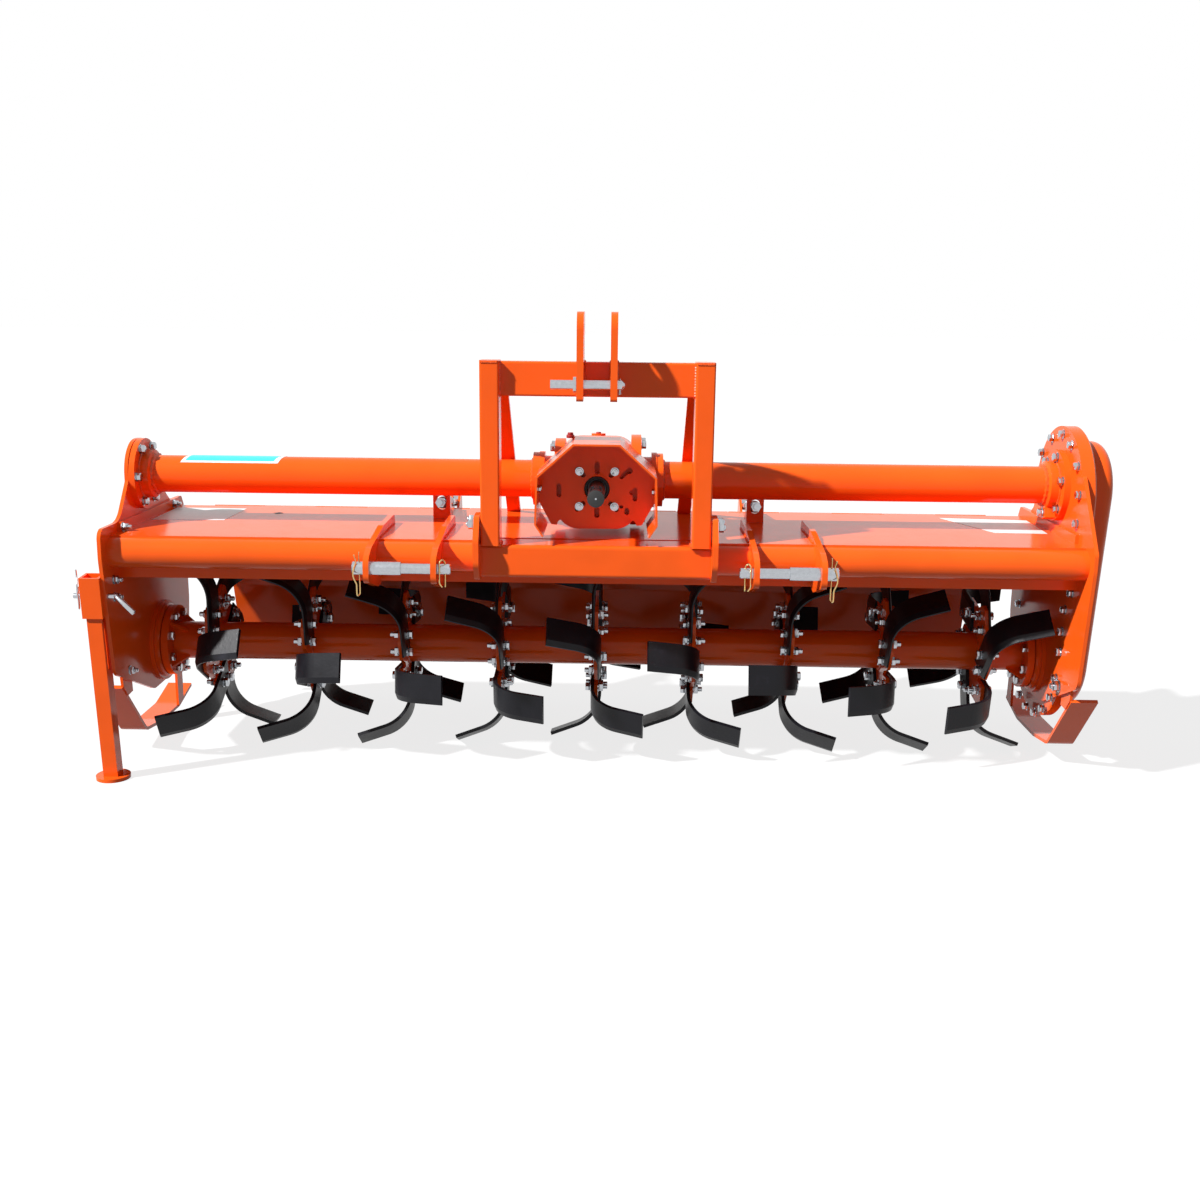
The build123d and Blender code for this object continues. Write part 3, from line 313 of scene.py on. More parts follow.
class RotavatorSizes(bpy.types.PropertyGroup):
    """Sizes of the fasteners."""

    plate_bolt: bpy.props.FloatProperty(
        name="Plate bolt", description="Width across the flats of the plate bolts",
        default=0.0155, unit="LENGTH")
    blade_bolt: bpy.props.FloatProperty(
        name="Blade bolt", description="Width across the flats of the blade bolts",
        default=0.018, unit="LENGTH")


class RotavatorColours(bpy.types.PropertyGroup):
    """Base colours of the finishes."""

    enamel: bpy.props.FloatVectorProperty(
        name="Enamel", description="Orange enamel of the frame",
        default=(0.9, 0.106, 0.008), subtype="COLOR")
    blade: bpy.props.FloatVectorProperty(
        name="Blade paint", description="Black paint of the blades",
        default=(0.007, 0.007, 0.010), subtype="COLOR")
    # the default is darkened and tinted blue: a painted reflection of blue sky and dark ground over
    # the zinc's own grey
    zinc_and_reflection: bpy.props.FloatVectorProperty(
        name="Zinc", description="Zinc plate of the bolts and pins",
        default=(0.47, 0.49, 0.52), subtype="COLOR")
    yellow_zinc: bpy.props.FloatVectorProperty(
        name="Yellow zinc", description="Passivated plate of the clips",
        default=(0.62, 0.45, 0.2), subtype="COLOR")
    dark_steel: bpy.props.FloatVectorProperty(
        name="Dark steel", description="Oiled steel of the input shaft",
        default=(0.06, 0.06, 0.065), subtype="COLOR")


# ---- materials ----------------------------------------------------------------------------


class Shading:
    """A material under way: textures on object coordinates drive its shader's inputs."""

    def __init__(self, name):
        self.material = bpy.data.materials.new(name)
        self.material.use_nodes = True
        self.nodes = self.material.node_tree.nodes
        self.links = self.material.node_tree.links
        self.shader = self.nodes["Principled BSDF"]
        self.coordinates = self.nodes.new("ShaderNodeTexCoord")

    def fix(self, name, value):
        """Set one of the shader's inputs, the same all over."""
        self.shader.inputs[name].default_value = value

    def noise(self, scale, detail=4.0, roughness=0.55, stretch=(1, 1, 1)):
        """A noise's value, stretched along the axes."""
        mapping = self.nodes.new("ShaderNodeMapping")
        mapping.inputs["Scale"].default_value = stretch
        self.links.new(self.coordinates.outputs["Object"], mapping.inputs["Vector"])
        texture = self.nodes.new("ShaderNodeTexNoise")
        texture.inputs["Scale"].default_value = scale
        texture.inputs["Detail"].default_value = detail
        texture.inputs["Roughness"].default_value = roughness
        self.links.new(mapping.outputs["Vector"], texture.inputs["Vector"])
        return texture.outputs["Fac"]

    def ramp(self, name, value, stops):
        """Drive one of the shader's inputs by a value: stops are (place, grey or colour)."""
        node = self.nodes.new("ShaderNodeValToRGB")
        elements = node.color_ramp.elements
        elements[0].position = stops[0][0]
        elements[-1].position = stops[-1][0]
        for place, _ in stops[1:-1]:
            elements.new(place)
        for element, (_, tone) in zip(elements, stops):
            colour = tone if isinstance(tone, tuple) else (tone, tone, tone)
            element.color = (*colour, 1)
        self.links.new(value, node.inputs["Fac"])
        self.links.new(node.outputs["Color"], self.shader.inputs[name])

    def bump(self, height, strength, distance):
        """Bump the shader's normal by a height value."""
        node = self.nodes.new("ShaderNodeBump")
        node.inputs["Strength"].default_value = strength
        node.inputs["Distance"].default_value = distance
        self.links.new(height, node.inputs["Height"])
        self.links.new(node.outputs["Normal"], self.shader.inputs["Normal"])


def tint(colour, factor):
    """A colour multiplied by a factor."""
    return tuple(min(1.0, c * factor) for c in colour)


def enamel(coat, colour):
    """Sprayed enamel: slight colour drift, orange peel and a clear gloss."""
    coat.ramp("Base Color", coat.noise(7.0, detail=3.0),
              [(0.3, tint(colour, 0.93)), (0.5, colour[:3]), (0.72, tint(colour, 1.04))])
    coat.ramp("Roughness", coat.noise(24.0, detail=5.0), [(0.3, 0.14), (0.75, 0.21)])
    coat.fix("Specular IOR Level", 0.15)
    coat.bump(coat.noise(420.0, detail=2.0), 0.05, 0.0004)


def blade_paint(coat, colour):
    """Dipped black paint with rough forged scale and rubbed streaks."""
    rub = coat.noise(14.0, detail=8.0, roughness=0.62)
    coat.ramp("Base Color", rub,
              [(0.35, tint(colour, 0.7)), (0.62, colour[:3]), (0.8, tint(colour, 3.0))])
    coat.ramp("Roughness", rub, [(0.3, 0.3), (0.8, 0.48)])
    coat.fix("Specular IOR Level", 0.22)
    coat.bump(coat.noise(160.0, detail=6.0), 0.3, 0.0008)


def zinc_plate(coat, colour):
    """Bright zinc plate with fine mottling."""
    mottle = coat.noise(160.0)
    coat.ramp("Base Color", mottle, [(0.3, tint(colour, 0.93)), (0.7, tint(colour, 1.06))])
    coat.ramp("Roughness", mottle, [(0.3, 0.2), (0.8, 0.28)])
    coat.fix("Metallic", 1.0)
    coat.bump(coat.noise(700.0, detail=2.0), 0.03, 0.0002)


def oiled_steel(coat, colour):
    """Dark oiled steel with turning marks."""
    marks = coat.noise(60.0, detail=5.0, stretch=(1, 12, 1))
    coat.ramp("Base Color", marks, [(0.3, tint(colour, 0.6)), (0.75, tint(colour, 2.2))])
    coat.fix("Metallic", 0.9)
    coat.fix("Roughness", 0.38)
    coat.bump(marks, 0.15, 0.0004)


def weld_enamel(coat, colour):
    """Enamel over weld metal, lumpier and a little darker than on plate."""
    lumps = coat.noise(130.0, detail=5.0)
    coat.ramp("Base Color", lumps, [(0.3, tint(colour, 0.55)), (0.7, tint(colour, 1.05))])
    coat.fix("Roughness", 0.38)
    coat.bump(lumps, 0.5, 0.001)


def moulded(coat, colour, roughness):
    """Moulded or printed material: a faint mottle over an even colour."""
    coat.ramp("Base Color", coat.noise(60.0, detail=3.0),
              [(0.3, tint(colour, 0.93)), (0.7, tint(colour, 1.05))])
    coat.fix("Roughness", roughness)
    coat.bump(coat.noise(500.0, detail=2.0), 0.08, 0.0004)


def material(name):
    """A finish by its plain name, made once."""
    kept = bpy.data.materials.get(name)
    if kept:
        return kept
    colours = bpy.context.scene.rotavator_colours
    cover, *values = {
        "orange_enamel": (enamel, colours.enamel),
        "weld_enamel": (weld_enamel, colours.enamel),
        "black_blade_paint": (blade_paint, colours.blade),
        # this colour holds a painted reflection of blue sky and dark ground over the zinc's own grey
        "zinc_plate": (zinc_plate, colours.zinc_and_reflection),
        "yellow_zinc": (zinc_plate, colours.yellow_zinc),
        "oiled_steel": (oiled_steel, colours.dark_steel),
        "seal_rubber": (moulded, (0.012, 0.012, 0.012), 0.6),
        "label_white": (moulded, (0.82, 0.82, 0.82), 0.35),
        "label_cyan": (moulded, (0.05, 0.72, 0.78), 0.35),
        "plug_plastic": (moulded, (0.3, 0.01, 0.01), 0.4),
    }[name]
    coat = Shading(name)
    cover(coat, *values)
    return coat.material


def backdrop_only(tree, low, high):
    """A strength that is high where the backdrop is seen, straight or mirrored, else low."""
    nodes, links = tree.nodes, tree.links
    path = nodes.new("ShaderNodeLightPath")
    seen = path.outputs["Is Camera Ray"]
    for name in ("Is Glossy Ray", "Is Transmission Ray"):
        either = nodes.new("ShaderNodeMath")
        either.operation = "MAXIMUM"
        links.new(seen, either.inputs[0])
        links.new(path.outputs[name], either.inputs[1])
        seen = either.outputs["Value"]
    strength = nodes.new("ShaderNodeMapRange")
    strength.inputs["To Min"].default_value = low
    strength.inputs["To Max"].default_value = high
    links.new(seen, strength.inputs["Value"])
    return strength.outputs["Result"]


# ---- operators ----------------------------------------------------------------------------

FINISH_OF_SLOT = {
    "orange_paint": "orange_enamel",
    "blade_black": "black_blade_paint",
    "zinc_steel": "zinc_plate",
    "shaft_steel": "oiled_steel",
}


class ROTAVATOR_OT_finishes(bpy.types.Operator):
    """Give every CAD node its finish"""

    bl_idname = "rotavator.finishes"
    bl_label = "Finishes"

    def execute(self, context):
        for entry in frame["record"]["subparts"]:
            node = frame["nodes"][entry["node"]]
            node.data.materials.clear()
            node.data.materials.append(material(FINISH_OF_SLOT[entry["material_slot"]]))
        return {"FINISHED"}


class ROTAVATOR_OT_plate_bolts(bpy.types.Operator):
    """Bolt the left plate, the strip at the deck's left end and the gear case"""

    bl_idname = "rotavator.plate_bolts"
    bl_label = "Plate bolts"

    # places on the plates' inner faces: y, z in millimetres from the rotor's axis
    left_plate = [(-283, 207), (-286, 169), (-229, -12), (121, -105)]
    gear_case_rim = [
        (48, 472), (-12, 512), (-81, 528), (-143, 510), (-194, 469), (-220, 410), (-219, 347),
        (-196, 150), (-190, 98), (-189, 51), (-179, -13), (-158, -65), (-111, -107), (-58, -133),
        (4, -137), (60, -125), (108, -88), (134, -36), (138, 22), (126, 90), (113, 160), (99, 230),
    ]
    big_nut = (-200, -26)
    deck_corner = (-229, 195)
    strip_thick = 0.008
    strip_bolts = [-231, 103]           # y only, at one height over the deck
    strip_rise = 0.009
    # shares of a plate bolt's flats
    stub_share = 0.5
    big_share = 1.35
    big_stub_share = 0.4

    def execute(self, context):
        flats = context.scene.rotavator_sizes.plate_bolt
        head = bolt_master(flats)
        nut = bolt_master(flats, stub=flats * self.stub_share)
        bm = bmesh.new()
        for y, z in self.left_plate:
            stamp(bm, nut, aim(mm(-PLATE_IN * 1000, y, z), (1, 0, 0), y))
            stamp(bm, head, aim(mm(-PLATE_OUT * 1000, y, z), (-1, 0, 0), z))
        for y in self.strip_bolts:
            place = Vector((self.strip_thick - PLATE_IN, ROTOR.y + y / 1000,
                            DECK_TOP + self.strip_rise))
            stamp(bm, nut, aim(place, (1, 0, 0), y))
        piece("plate_bolts_left", bm, "zinc_plate", "frame")
        bm = bmesh.new()
        for y, z in self.gear_case_rim:
            stamp(bm, head, aim(mm(PLATE_IN * 1000, y, z), (-1, 0, 0), y))
        big = bolt_master(flats * self.big_share, stub=flats * self.big_stub_share)
        stamp(bm, big, aim(mm(PLATE_IN * 1000, *self.big_nut), (-1, 0, 0)))
        stamp(bm, head, aim(mm(PLATE_IN * 1000, *self.deck_corner), (-1, 0, 0)))
        piece("plate_bolts_right", bm, "zinc_plate", "frame")
        return {"FINISHED"}


class ROTAVATOR_OT_beam_bolts(bpy.types.Operator):
    """Bolt the flanges of the upper tubes and weld the tubes into their collars"""

    bl_idname = "rotavator.beam_bolts"
    bl_label = "Beam bolts and welds"

    bolt_circle = 0.0675
    bolt_share = 1.05                   # of a plate bolt's flats
    lug_spin = 0.4
    # the side, and the first bolt's angle up from the front
    flanges = [("left", -1, 0), ("right", 1, 15)]
    # each weld's place across the machine, the radius it runs round and its bead's own
    welds = [(BEAM_COLLAR_END, BEAM_RADIUS, 0.006), (BEAM_FLANGE_FACE, 0.055, 0.004),
             (0.147, BEAM_RADIUS, 0.005)]

    def execute(self, context):
        head = bolt_master(context.scene.rotavator_sizes.plate_bolt * self.bolt_share)
        for name, side, first in self.flanges:
            bm = bmesh.new()
            if name == "right":
                stamp(bm, head, aim(BEAM_LUG, (-1, 0, 0), self.lug_spin))
            centre = Vector((side * BEAM_FLANGE_FACE, BEAM.y, BEAM.z))
            bolt_ring(bm, head, centre, -side, self.bolt_circle, 6, radians(first), lead=-1)
            piece(f"beam_bolts_{name}", bm, "zinc_plate", "frame")
            bm = bmesh.new()
            for x, radius, weld in self.welds:
                ring_bead(bm, Vector((side * x, BEAM.y, BEAM.z)), radius, weld)
            piece(f"beam_welds_{name}", bm, "weld_enamel", "frame")
        return {"FINISHED"}


class ROTAVATOR_OT_blade_bolts(bpy.types.Operator):
    """Bolt every blade to its flange with two bolts and a nut on each"""

    bl_idname = "rotavator.blade_bolts"
    bl_label = "Blade bolts"

    # along the shank's middle line and ahead of it
    holes = [(0.040, 0.008), (0.077, -0.010)]
    stub_share = 0.55                   # of a blade bolt's flats
    spin_rate = 40                      # radians to a metre along the shank

    def execute(self, context):
        flats = context.scene.rotavator_sizes.blade_bolt
        head = bolt_master(flats)
        nut = bolt_master(flats, stub=flats * self.stub_share)
        face = FLANGE_HALF + BLADE_THICK
        # right-bending shanks lie on their flange's left face, and left-bending ones on its right
        hands = [(0, -1), (LEFT_LAG, 1)]
        for group, name in enumerate(("left", "middle", "right")):
            bm = bmesh.new()
            for flange in range(NODE_FLANGES * group, NODE_FLANGES * (group + 1)):
                for lag, side in hands:
                    for third in range(BLADES_PER_SIDE):
                        for along, ahead in self.holes:
                            shank = (flange, lag, third, along, ahead)
                            spin = flange + third + along * self.spin_rate
                            place = shank_place(*shank, side * face)
                            stamp(bm, head, aim(place, (side, 0, 0), spin))
                            place = shank_place(*shank, -side * FLANGE_HALF)
                            stamp(bm, nut, aim(place, (-side, 0, 0), spin))
            piece(f"blade_bolts_{name}", bm, "zinc_plate", "rotor")
        return {"FINISHED"}


class ROTAVATOR_OT_rotor_ends(bpy.types.Operator):
    """Bolt the rotor's end flanges, and weld them and the blades' flanges to the tube"""

    bl_idname = "rotavator.rotor_ends"
    bl_label = "Rotor ends and welds"

    bolt_flats = 0.018
    bolt_circle = 0.067
    journal = 0.016
    end_flange = 0.012
    end_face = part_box("rotor_tube")[1].x - journal - end_flange     # its inner side
    # the radius that a weld runs round and its bead's own
    end_weld = (0.046, 0.005)
    flange_weld = (0.0455, 0.004)

    def execute(self, context):
        head = bolt_master(self.bolt_flats)
        bolts = bmesh.new()
        welds = bmesh.new()
        for side in (-1, 1):
            centre = Vector((side * self.end_face, ROTOR.y, ROTOR.z))
            bolt_ring(bolts, head, centre, -side, self.bolt_circle, 8, pi / 8)
            ring_bead(welds, centre, *self.end_weld)
        for flange in range(FLANGES):
            for side in (-1, 1):
                ring_bead(welds, flange_centre(flange, side * FLANGE_HALF), *self.flange_weld)
        piece("rotor_end_bolts", bolts, "zinc_plate", "rotor")
        piece("rotor_welds", welds, "weld_enamel", "rotor")
        return {"FINISHED"}


class ROTAVATOR_OT_gearbox_trim(bpy.types.Operator):
    """Bolt the gearbox, and add its breather, its plug, its seal and the shaft's end cap"""

    bl_idname = "rotavator.gearbox_trim"
    bl_label = "Gearbox trim"

    # shares of a plate bolt's flats
    stud_share = 0.86
    stub_share = 0.2
    small_share = 0.7
    plate_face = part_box("gearbox_front_plate")[0].y
    front_bolt = 0.038                  # across and up from the shaft's axis
    # on the front plate's folded sides: x, y from the rotor's axis, z from the upper tubes'
    side_bolts = [(-0.1255, -0.262, 0.004), (-0.1255, -0.292, 0.006), (0.1255, -0.262, -0.002)]
    ring_face = 0.096
    ring_circles = [(-1, 0.080), (1, 0.090)]
    seal_depth = 0.006
    seal_circle = 0.0235
    seal_radius = 0.0032
    breather_radius = 0.008
    breather_sink = 0.009               # of its foot, under the housing's top
    plug_radius = 0.009
    plug_foot = (-0.061, -0.15, 0.1)    # from the same axes as the side bolts
    plug_body = 0.007
    plug_head = 0.006
    plug_head_share = 0.8               # of the body's radius
    plug_overlap = 0.001                # of head and body
    plug_rim = 0.0008
    cap_radius = 0.0179
    cap_thick = 0.007
    cap_proud = 0.0005
    centre_radius = 0.002
    centre_thick = 0.0005

    def bolts(self, flats):
        """The bolts of the front plate, its folded sides and the rings at the tubes."""
        head = bolt_master(flats)
        stud = bolt_master(flats * self.stud_share, stub=flats * self.stub_share)
        small = bolt_master(flats * self.small_share)
        bm = bmesh.new()
        for x in (-self.front_bolt, self.front_bolt):
            for z in (-self.front_bolt, self.front_bolt):
                stamp(bm, stud, aim(Vector((x, self.plate_face, BEAM.z + z)), (0, -1, 0), x * 40))
        for x, y, z in self.side_bolts:
            inward = 1 if x < 0 else -1
            stamp(bm, small, aim(Vector((x, ROTOR.y + y, BEAM.z + z)), (inward, 0, 0)))
        for side, radius in self.ring_circles:
            centre = Vector((side * self.ring_face, BEAM.y, BEAM.z))
            bolt_ring(bm, head, centre, side, radius, 8, pi / 8)
        piece("gearbox_bolts", bm, "zinc_plate", "frame")

    def plugs(self):
        """The breather on the housing's top and the plug at its left."""
        bm = bmesh.new()
        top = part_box("gearbox_housing")[1].z
        x, y, z = self.plug_foot
        for place, radius in (
                (Vector((0, BEAM.y, top - self.breather_sink)), self.breather_radius),
                (Vector((x, ROTOR.y + y, BEAM.z + z)), self.plug_radius)):
            rod(bm, Matrix.Translation(place), radius, self.plug_body, segments=20,
                rim=self.plug_rim)
            place.z += self.plug_body - self.plug_overlap
            rod(bm, Matrix.Translation(place), radius * self.plug_head_share, self.plug_head,
                segments=6, rim=self.plug_rim)
        piece("gearbox_plugs", bm, "plug_plastic", "frame")

    def input_end(self):
        """The seal round the input shaft, and the cap and centre mark on its end."""
        bm = bmesh.new()
        centre = Vector((0, self.plate_face + self.seal_depth, BEAM.z))
        profile = side_profile(bm, aim(centre, (0, -1, 0)), self.seal_circle, self.seal_radius,
                               WIRE_SEGMENTS)
        bmesh.ops.spin(bm, geom=profile, cent=centre, axis=(0, 1, 0), angle=2 * pi, steps=40,
                       use_merge=True)
        piece("input_seal", bm, "seal_rubber", "frame")
        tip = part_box("input_shaft")[0].y
        bm = bmesh.new()
        foot = Vector((SHAFT.x, tip + self.cap_thick - self.cap_proud, SHAFT.z))
        rod(bm, aim(foot, (0, -1, 0)), self.cap_radius, self.cap_thick, segments=40, rim=0.001)
        piece("shaft_cap", bm, "seal_rubber", "input")
        bm = bmesh.new()
        rod(bm, aim(Vector((SHAFT.x, tip - 0.0003, SHAFT.z)), (0, -1, 0)), self.centre_radius,
            self.centre_thick, segments=12)
        piece("shaft_centre", bm, "zinc_plate", "input")

    def execute(self, context):
        self.bolts(context.scene.rotavator_sizes.plate_bolt)
        self.plugs()
        self.input_end()
        return {"FINISHED"}


class ROTAVATOR_OT_mast_welds(bpy.types.Operator):
    """Weld the mast, the ears, the hitch plates and the rod brackets"""

    bl_idname = "rotavator.mast_welds"
    bl_label = "Mast welds"

    ear_thick = 0.014
    clevis_thick = 0.012
    clevis_weld = (0.195, 0.020)        # its ends, ahead of the clevis plate's rear
    # the beads' radii
    heavy = 0.0035
    ear_bead = 0.0032
    light = 0.003
    cap_bead = 0.0022
    proud = 0.0005                      # of the crossbeam's side
    foot_lift = 0.001
    cap_drop = 0.004

    def execute(self, context):
        bm = bmesh.new()
        beam_low, beam_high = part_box("mast_crossbeam")
        for side in (-1, 1):
            x = side * (beam_high.x + self.proud)
            bead(bm, Vector((x, beam_low.y, beam_low.z)),
                 Vector((x, beam_low.y, beam_high.z)), self.heavy, short=0.004)
            bead(bm, Vector((x, beam_low.y, beam_low.z)),
                 Vector((x, beam_high.y, beam_low.z)), self.light, short=0.003)
            name = "left" if side < 0 else "right"
            low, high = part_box(f"mast_post_{name}")
            foot = low.z + self.foot_lift
            for x in (low.x, high.x):
                bead(bm, Vector((x, low.y, foot)), Vector((x, high.y, foot)), self.heavy,
                     short=0.004)
            cap = high.z - self.cap_drop
            bead(bm, Vector((low.x, low.y, cap)), Vector((high.x, low.y, cap)), self.cap_bead,
                 short=0.003)
        ears_low, ears_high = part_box("top_link_ears")
        for x in (ears_low.x, ears_low.x + self.ear_thick, ears_high.x - self.ear_thick,
                  ears_high.x):
            bead(bm, Vector((x, beam_low.y, beam_high.z)),
                 Vector((x, beam_high.y, beam_high.z)), self.ear_bead, short=0.002)
            bead(bm, Vector((x, beam_low.y, beam_low.z)),
                 Vector((x, beam_low.y, beam_high.z)), self.light, short=0.003)
        front, rear = self.clevis_weld
        for name in ("left", "right"):
            low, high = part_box(f"lower_clevis_{name}")
            for x in (low.x, low.x + self.clevis_thick, high.x - self.clevis_thick, high.x):
                bead(bm, Vector((x, high.y - front, DECK_TOP)),
                     Vector((x, high.y - rear, DECK_TOP)), self.light)
            low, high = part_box(f"rod_bracket_{name}")
            bead(bm, Vector((low.x, low.y, DECK_TOP)), Vector((high.x, low.y, DECK_TOP)),
                 self.light)
        piece("mast_welds", bm, "weld_enamel", "frame")
        return {"FINISHED"}


class ROTAVATOR_OT_mast_bolts(bpy.types.Operator):
    """Bolt the mast's brackets to its posts"""

    bl_idname = "rotavator.mast_bolts"
    bl_label = "Mast bolts"

    # places on the brackets' outer faces: y, z in millimetres from the rotor's axis
    holes = [(-332, 347), (-302, 353)]
    stub = 0.004

    def execute(self, context):
        head = bolt_master(context.scene.rotavator_sizes.blade_bolt, stub=self.stub)
        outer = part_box("mast_bracket_right")[1].x * 1000
        bm = bmesh.new()
        for side in (-1, 1):
            for y, z in self.holes:
                stamp(bm, head, aim(mm(side * outer, y, z), (side, 0, 0), y))
        piece("mast_bolts", bm, "zinc_plate", "frame")
        return {"FINISHED"}


class ROTAVATOR_OT_hitch_clips(bpy.types.Operator):
    """Hang the clips on the hitch's and the stand's pins, and fit the stand pin's handle"""

    bl_idname = "rotavator.hitch_clips"
    bl_label = "Hitch clips"

    clip_wire = 0.0017
    split_wire = 0.0014
    split_half = 0.013                  # of a split pin's straight length
    split_leans = (-0.25, 0.2)          # of its two legs
    # how far from its pin's end each one goes through
    outer_inset = 0.015
    inner_inset = 0.012
    split_inset = 0.010
    stand_inset = 0.010
    # from the straight leg's end: the loop, then the leg that snaps round the pin
    waved = [("turn", 0.0055, pi), ("run", 0.016), ("turn", 0.012, -0.6), ("run", 0.012),
             ("turn", 0.018, 1.2), ("run", 0.012), ("turn", 0.010, -1.1), ("run", 0.010)]
    plain = [("turn", 0.0082, pi), ("run", 0.036), ("turn", 0.010, 0.7), ("run", 0.008)]
    # the handle's elbow, from the end of the pin's axis
    handle_inset = 0.004
    handle_rise = 0.002
    handle_way = (0.77, -0.25, -0.62)
    handle_radius = 0.0058
    handle_length = 0.058

    def spring_clip(self, bm, place, up, spin, back, reach, moves):
        """A clip of spring wire: a straight leg through the pin, a loop and a second leg.

        The straight leg starts a way back, above or below the place, and reaches past it.
        """
        start = aim(place + Vector((0, 0, up * back)), (0, 0, -up))
        local = start.to_3x3().inverted() @ Vector((sin(spin), -cos(spin), 0))
        start = start @ Matrix.Rotation(atan2(local.y, local.x), 4, "Z")
        wire(bm, start, self.clip_wire, [("run", back + reach), *moves])

    def lower_pins(self):
        """A waved clip at each lower pin's outer end and a plain one at its inner end."""
        bm = bmesh.new()
        for name, side in (("left", -1), ("right", 1)):
            low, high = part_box(f"lower_pin_{name}")
            centre = (low + high) / 2
            outer, inner = (low.x, high.x) if side < 0 else (high.x, low.x)
            place = Vector((outer - side * self.outer_inset, centre.y, centre.z))
            self.spring_clip(bm, place, 1, side * 0.45, back=0.034, reach=0.052,
                             moves=self.waved)
            place = Vector((inner + side * self.inner_inset, centre.y, centre.z))
            self.spring_clip(bm, place, -1, side * 0.7, back=0.038, reach=0.012,
                             moves=self.plain)
        piece("linch_pins", bm, "yellow_zinc", "frame")

    def top_pin(self):
        """A split pin, its legs bent apart."""
        bm = bmesh.new()
        low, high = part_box("top_link_pin")
        centre = (low + high) / 2
        top = Vector((high.x - self.split_inset, centre.y, centre.z + self.split_half))
        for lean in self.split_leans:
            wire(bm, aim(top, (lean * 0.2, 0, -1)), self.split_wire,
                 [("run", 2 * self.split_half), ("turn", 0.008, lean * 3)])
        piece("top_pin_clip", bm, "zinc_plate", "frame")

    def stand_pin(self):
        """The bent handle and the clip of the stand's pin."""
        bm = bmesh.new()
        low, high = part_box("stand_pin")
        centre = (low + high) / 2
        elbow = Vector((high.x - self.handle_inset, centre.y, centre.z + self.handle_rise))
        rod(bm, aim(elbow, self.handle_way), self.handle_radius, self.handle_length,
            segments=16, rim=0.0015)
        place = Vector((low.x + self.stand_inset, centre.y, centre.z))
        self.spring_clip(bm, place, 1, 0.3, back=0.020, reach=0.022, moves=self.waved)
        piece("stand_pin_handle", bm, "zinc_plate", "frame")

    def execute(self, context):
        self.lower_pins()
        self.top_pin()
        self.stand_pin()
        return {"FINISHED"}


class ROTAVATOR_OT_board_springs(bpy.types.Operator):
    """Fit the springs that press the trailing board down"""

    bl_idname = "rotavator.board_springs"
    bl_label = "Board springs"

    # y, z in millimetres from the rotor's axis
    eye = (265, 305)
    bracket = (-10, 343)
    # along the rod from its eye: the collar's face, and a place just short of the bracket
    collar_face = 0.1745
    spring_end = 0.2776 - 0.009
    coil_radius = 0.0122
    wire_radius = 0.0022
    turns = 10
    least_share = 0.64                  # of the spring's length, with the board fully up

    def execute(self, context):
        for name in ("left", "right"):
            x = middle(f"board_rod_{name}").x * 1000
            eye = mm(x, *self.eye)
            way = (mm(x, *self.bracket) - eye).normalized()
            seat = eye + way * self.collar_face
            bm = bmesh.new()
            coil(bm, seat, eye + way * self.spring_end, self.coil_radius, self.wire_radius,
                 self.turns)
            spring = piece(f"board_spring_{name}", bm, "zinc_plate", f"rod_{name}")
            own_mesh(spring)
        return {"FINISHED"}


class ROTAVATOR_OT_labels(bpy.types.Operator):
    """Lay the blank labels on the tube and the deck, and a dark mark on the deck"""

    bl_idname = "rotavator.labels"
    bl_label = "Labels"

    thickness = 0.0003
    proud = 0.0004                      # of a label's own face over the one under it
    slant = 0.014                       # across the machine, for a radian round the tube
    # ends across the machine, and the edges' angles up from the front
    tube_border = (-0.942, -0.722, radians(45), radians(125))
    tube_field = (-0.932, -0.732, radians(53), radians(117))
    # corners: x, and y from the rotor's axis
    deck_labels = [
        ("left", [(-1.026, -0.080), (-0.861, -0.074), (-0.856, 0.098), (-1.026, 0.100)]),
        ("right", [(0.900, -0.106), (1.018, -0.108), (1.026, 0.075), (0.822, 0.096)]),
    ]
    mark = (-763, 38, 0)
    mark_reach = 0.012

    def tube_label(self, name, finish, low, high, first, last, radius):
        """A label that wraps the left upper tube, its ends cut on a slant."""
        bm = bmesh.new()
        start = Vector((0, -cos(first), sin(first))) * radius
        ends = [bm.verts.new(Vector((x, BEAM.y, BEAM.z)) + start) for x in (low, high)]
        edge = bm.edges.new(ends)
        bmesh.ops.subdivide_edges(bm, edges=[edge], cuts=12)
        bmesh.ops.spin(bm, geom=bm.verts[:] + bm.edges[:], cent=(0, BEAM.y, BEAM.z),
                       axis=ACROSS, angle=first - last, steps=10)
        for vert in bm.verts:
            turn = atan2(vert.co.z - BEAM.z, BEAM.y - vert.co.y) - first
            vert.co.x += self.slant * turn
        self.lay(name, bm, finish)

    def flat_label(self, name, finish, corners):
        """A flat label on the deck."""
        bm = bmesh.new()
        bm.faces.new([bm.verts.new((x, y, DECK_TOP + self.proud)) for x, y in corners])
        self.lay(name, bm, finish)

    def lay(self, name, bm, finish):
        """Give a label its thickness and make it a piece."""
        bmesh.ops.recalc_face_normals(bm, faces=bm.faces)
        bmesh.ops.solidify(bm, geom=bm.faces[:], thickness=self.thickness)
        piece(name, bm, finish, "frame")

    def execute(self, context):
        self.tube_label("tube_label_border", "label_white", *self.tube_border,
                        BEAM_RADIUS + self.proud)
        self.tube_label("tube_label", "label_cyan", *self.tube_field,
                        BEAM_RADIUS + 2 * self.proud)
        for name, corners in self.deck_labels:
            corners = [(x, ROTOR.y + y) for x, y in corners]
            self.flat_label(f"deck_label_{name}", "label_white", corners)
        spot = mm(*self.mark)
        turns = [turn * pi / 2 for turn in range(4)]
        corners = [(spot.x + self.mark_reach * cos(turn), spot.y + self.mark_reach * sin(turn))
                   for turn in turns]
        self.flat_label("deck_mark", "seal_rubber", corners)
        return {"FINISHED"}


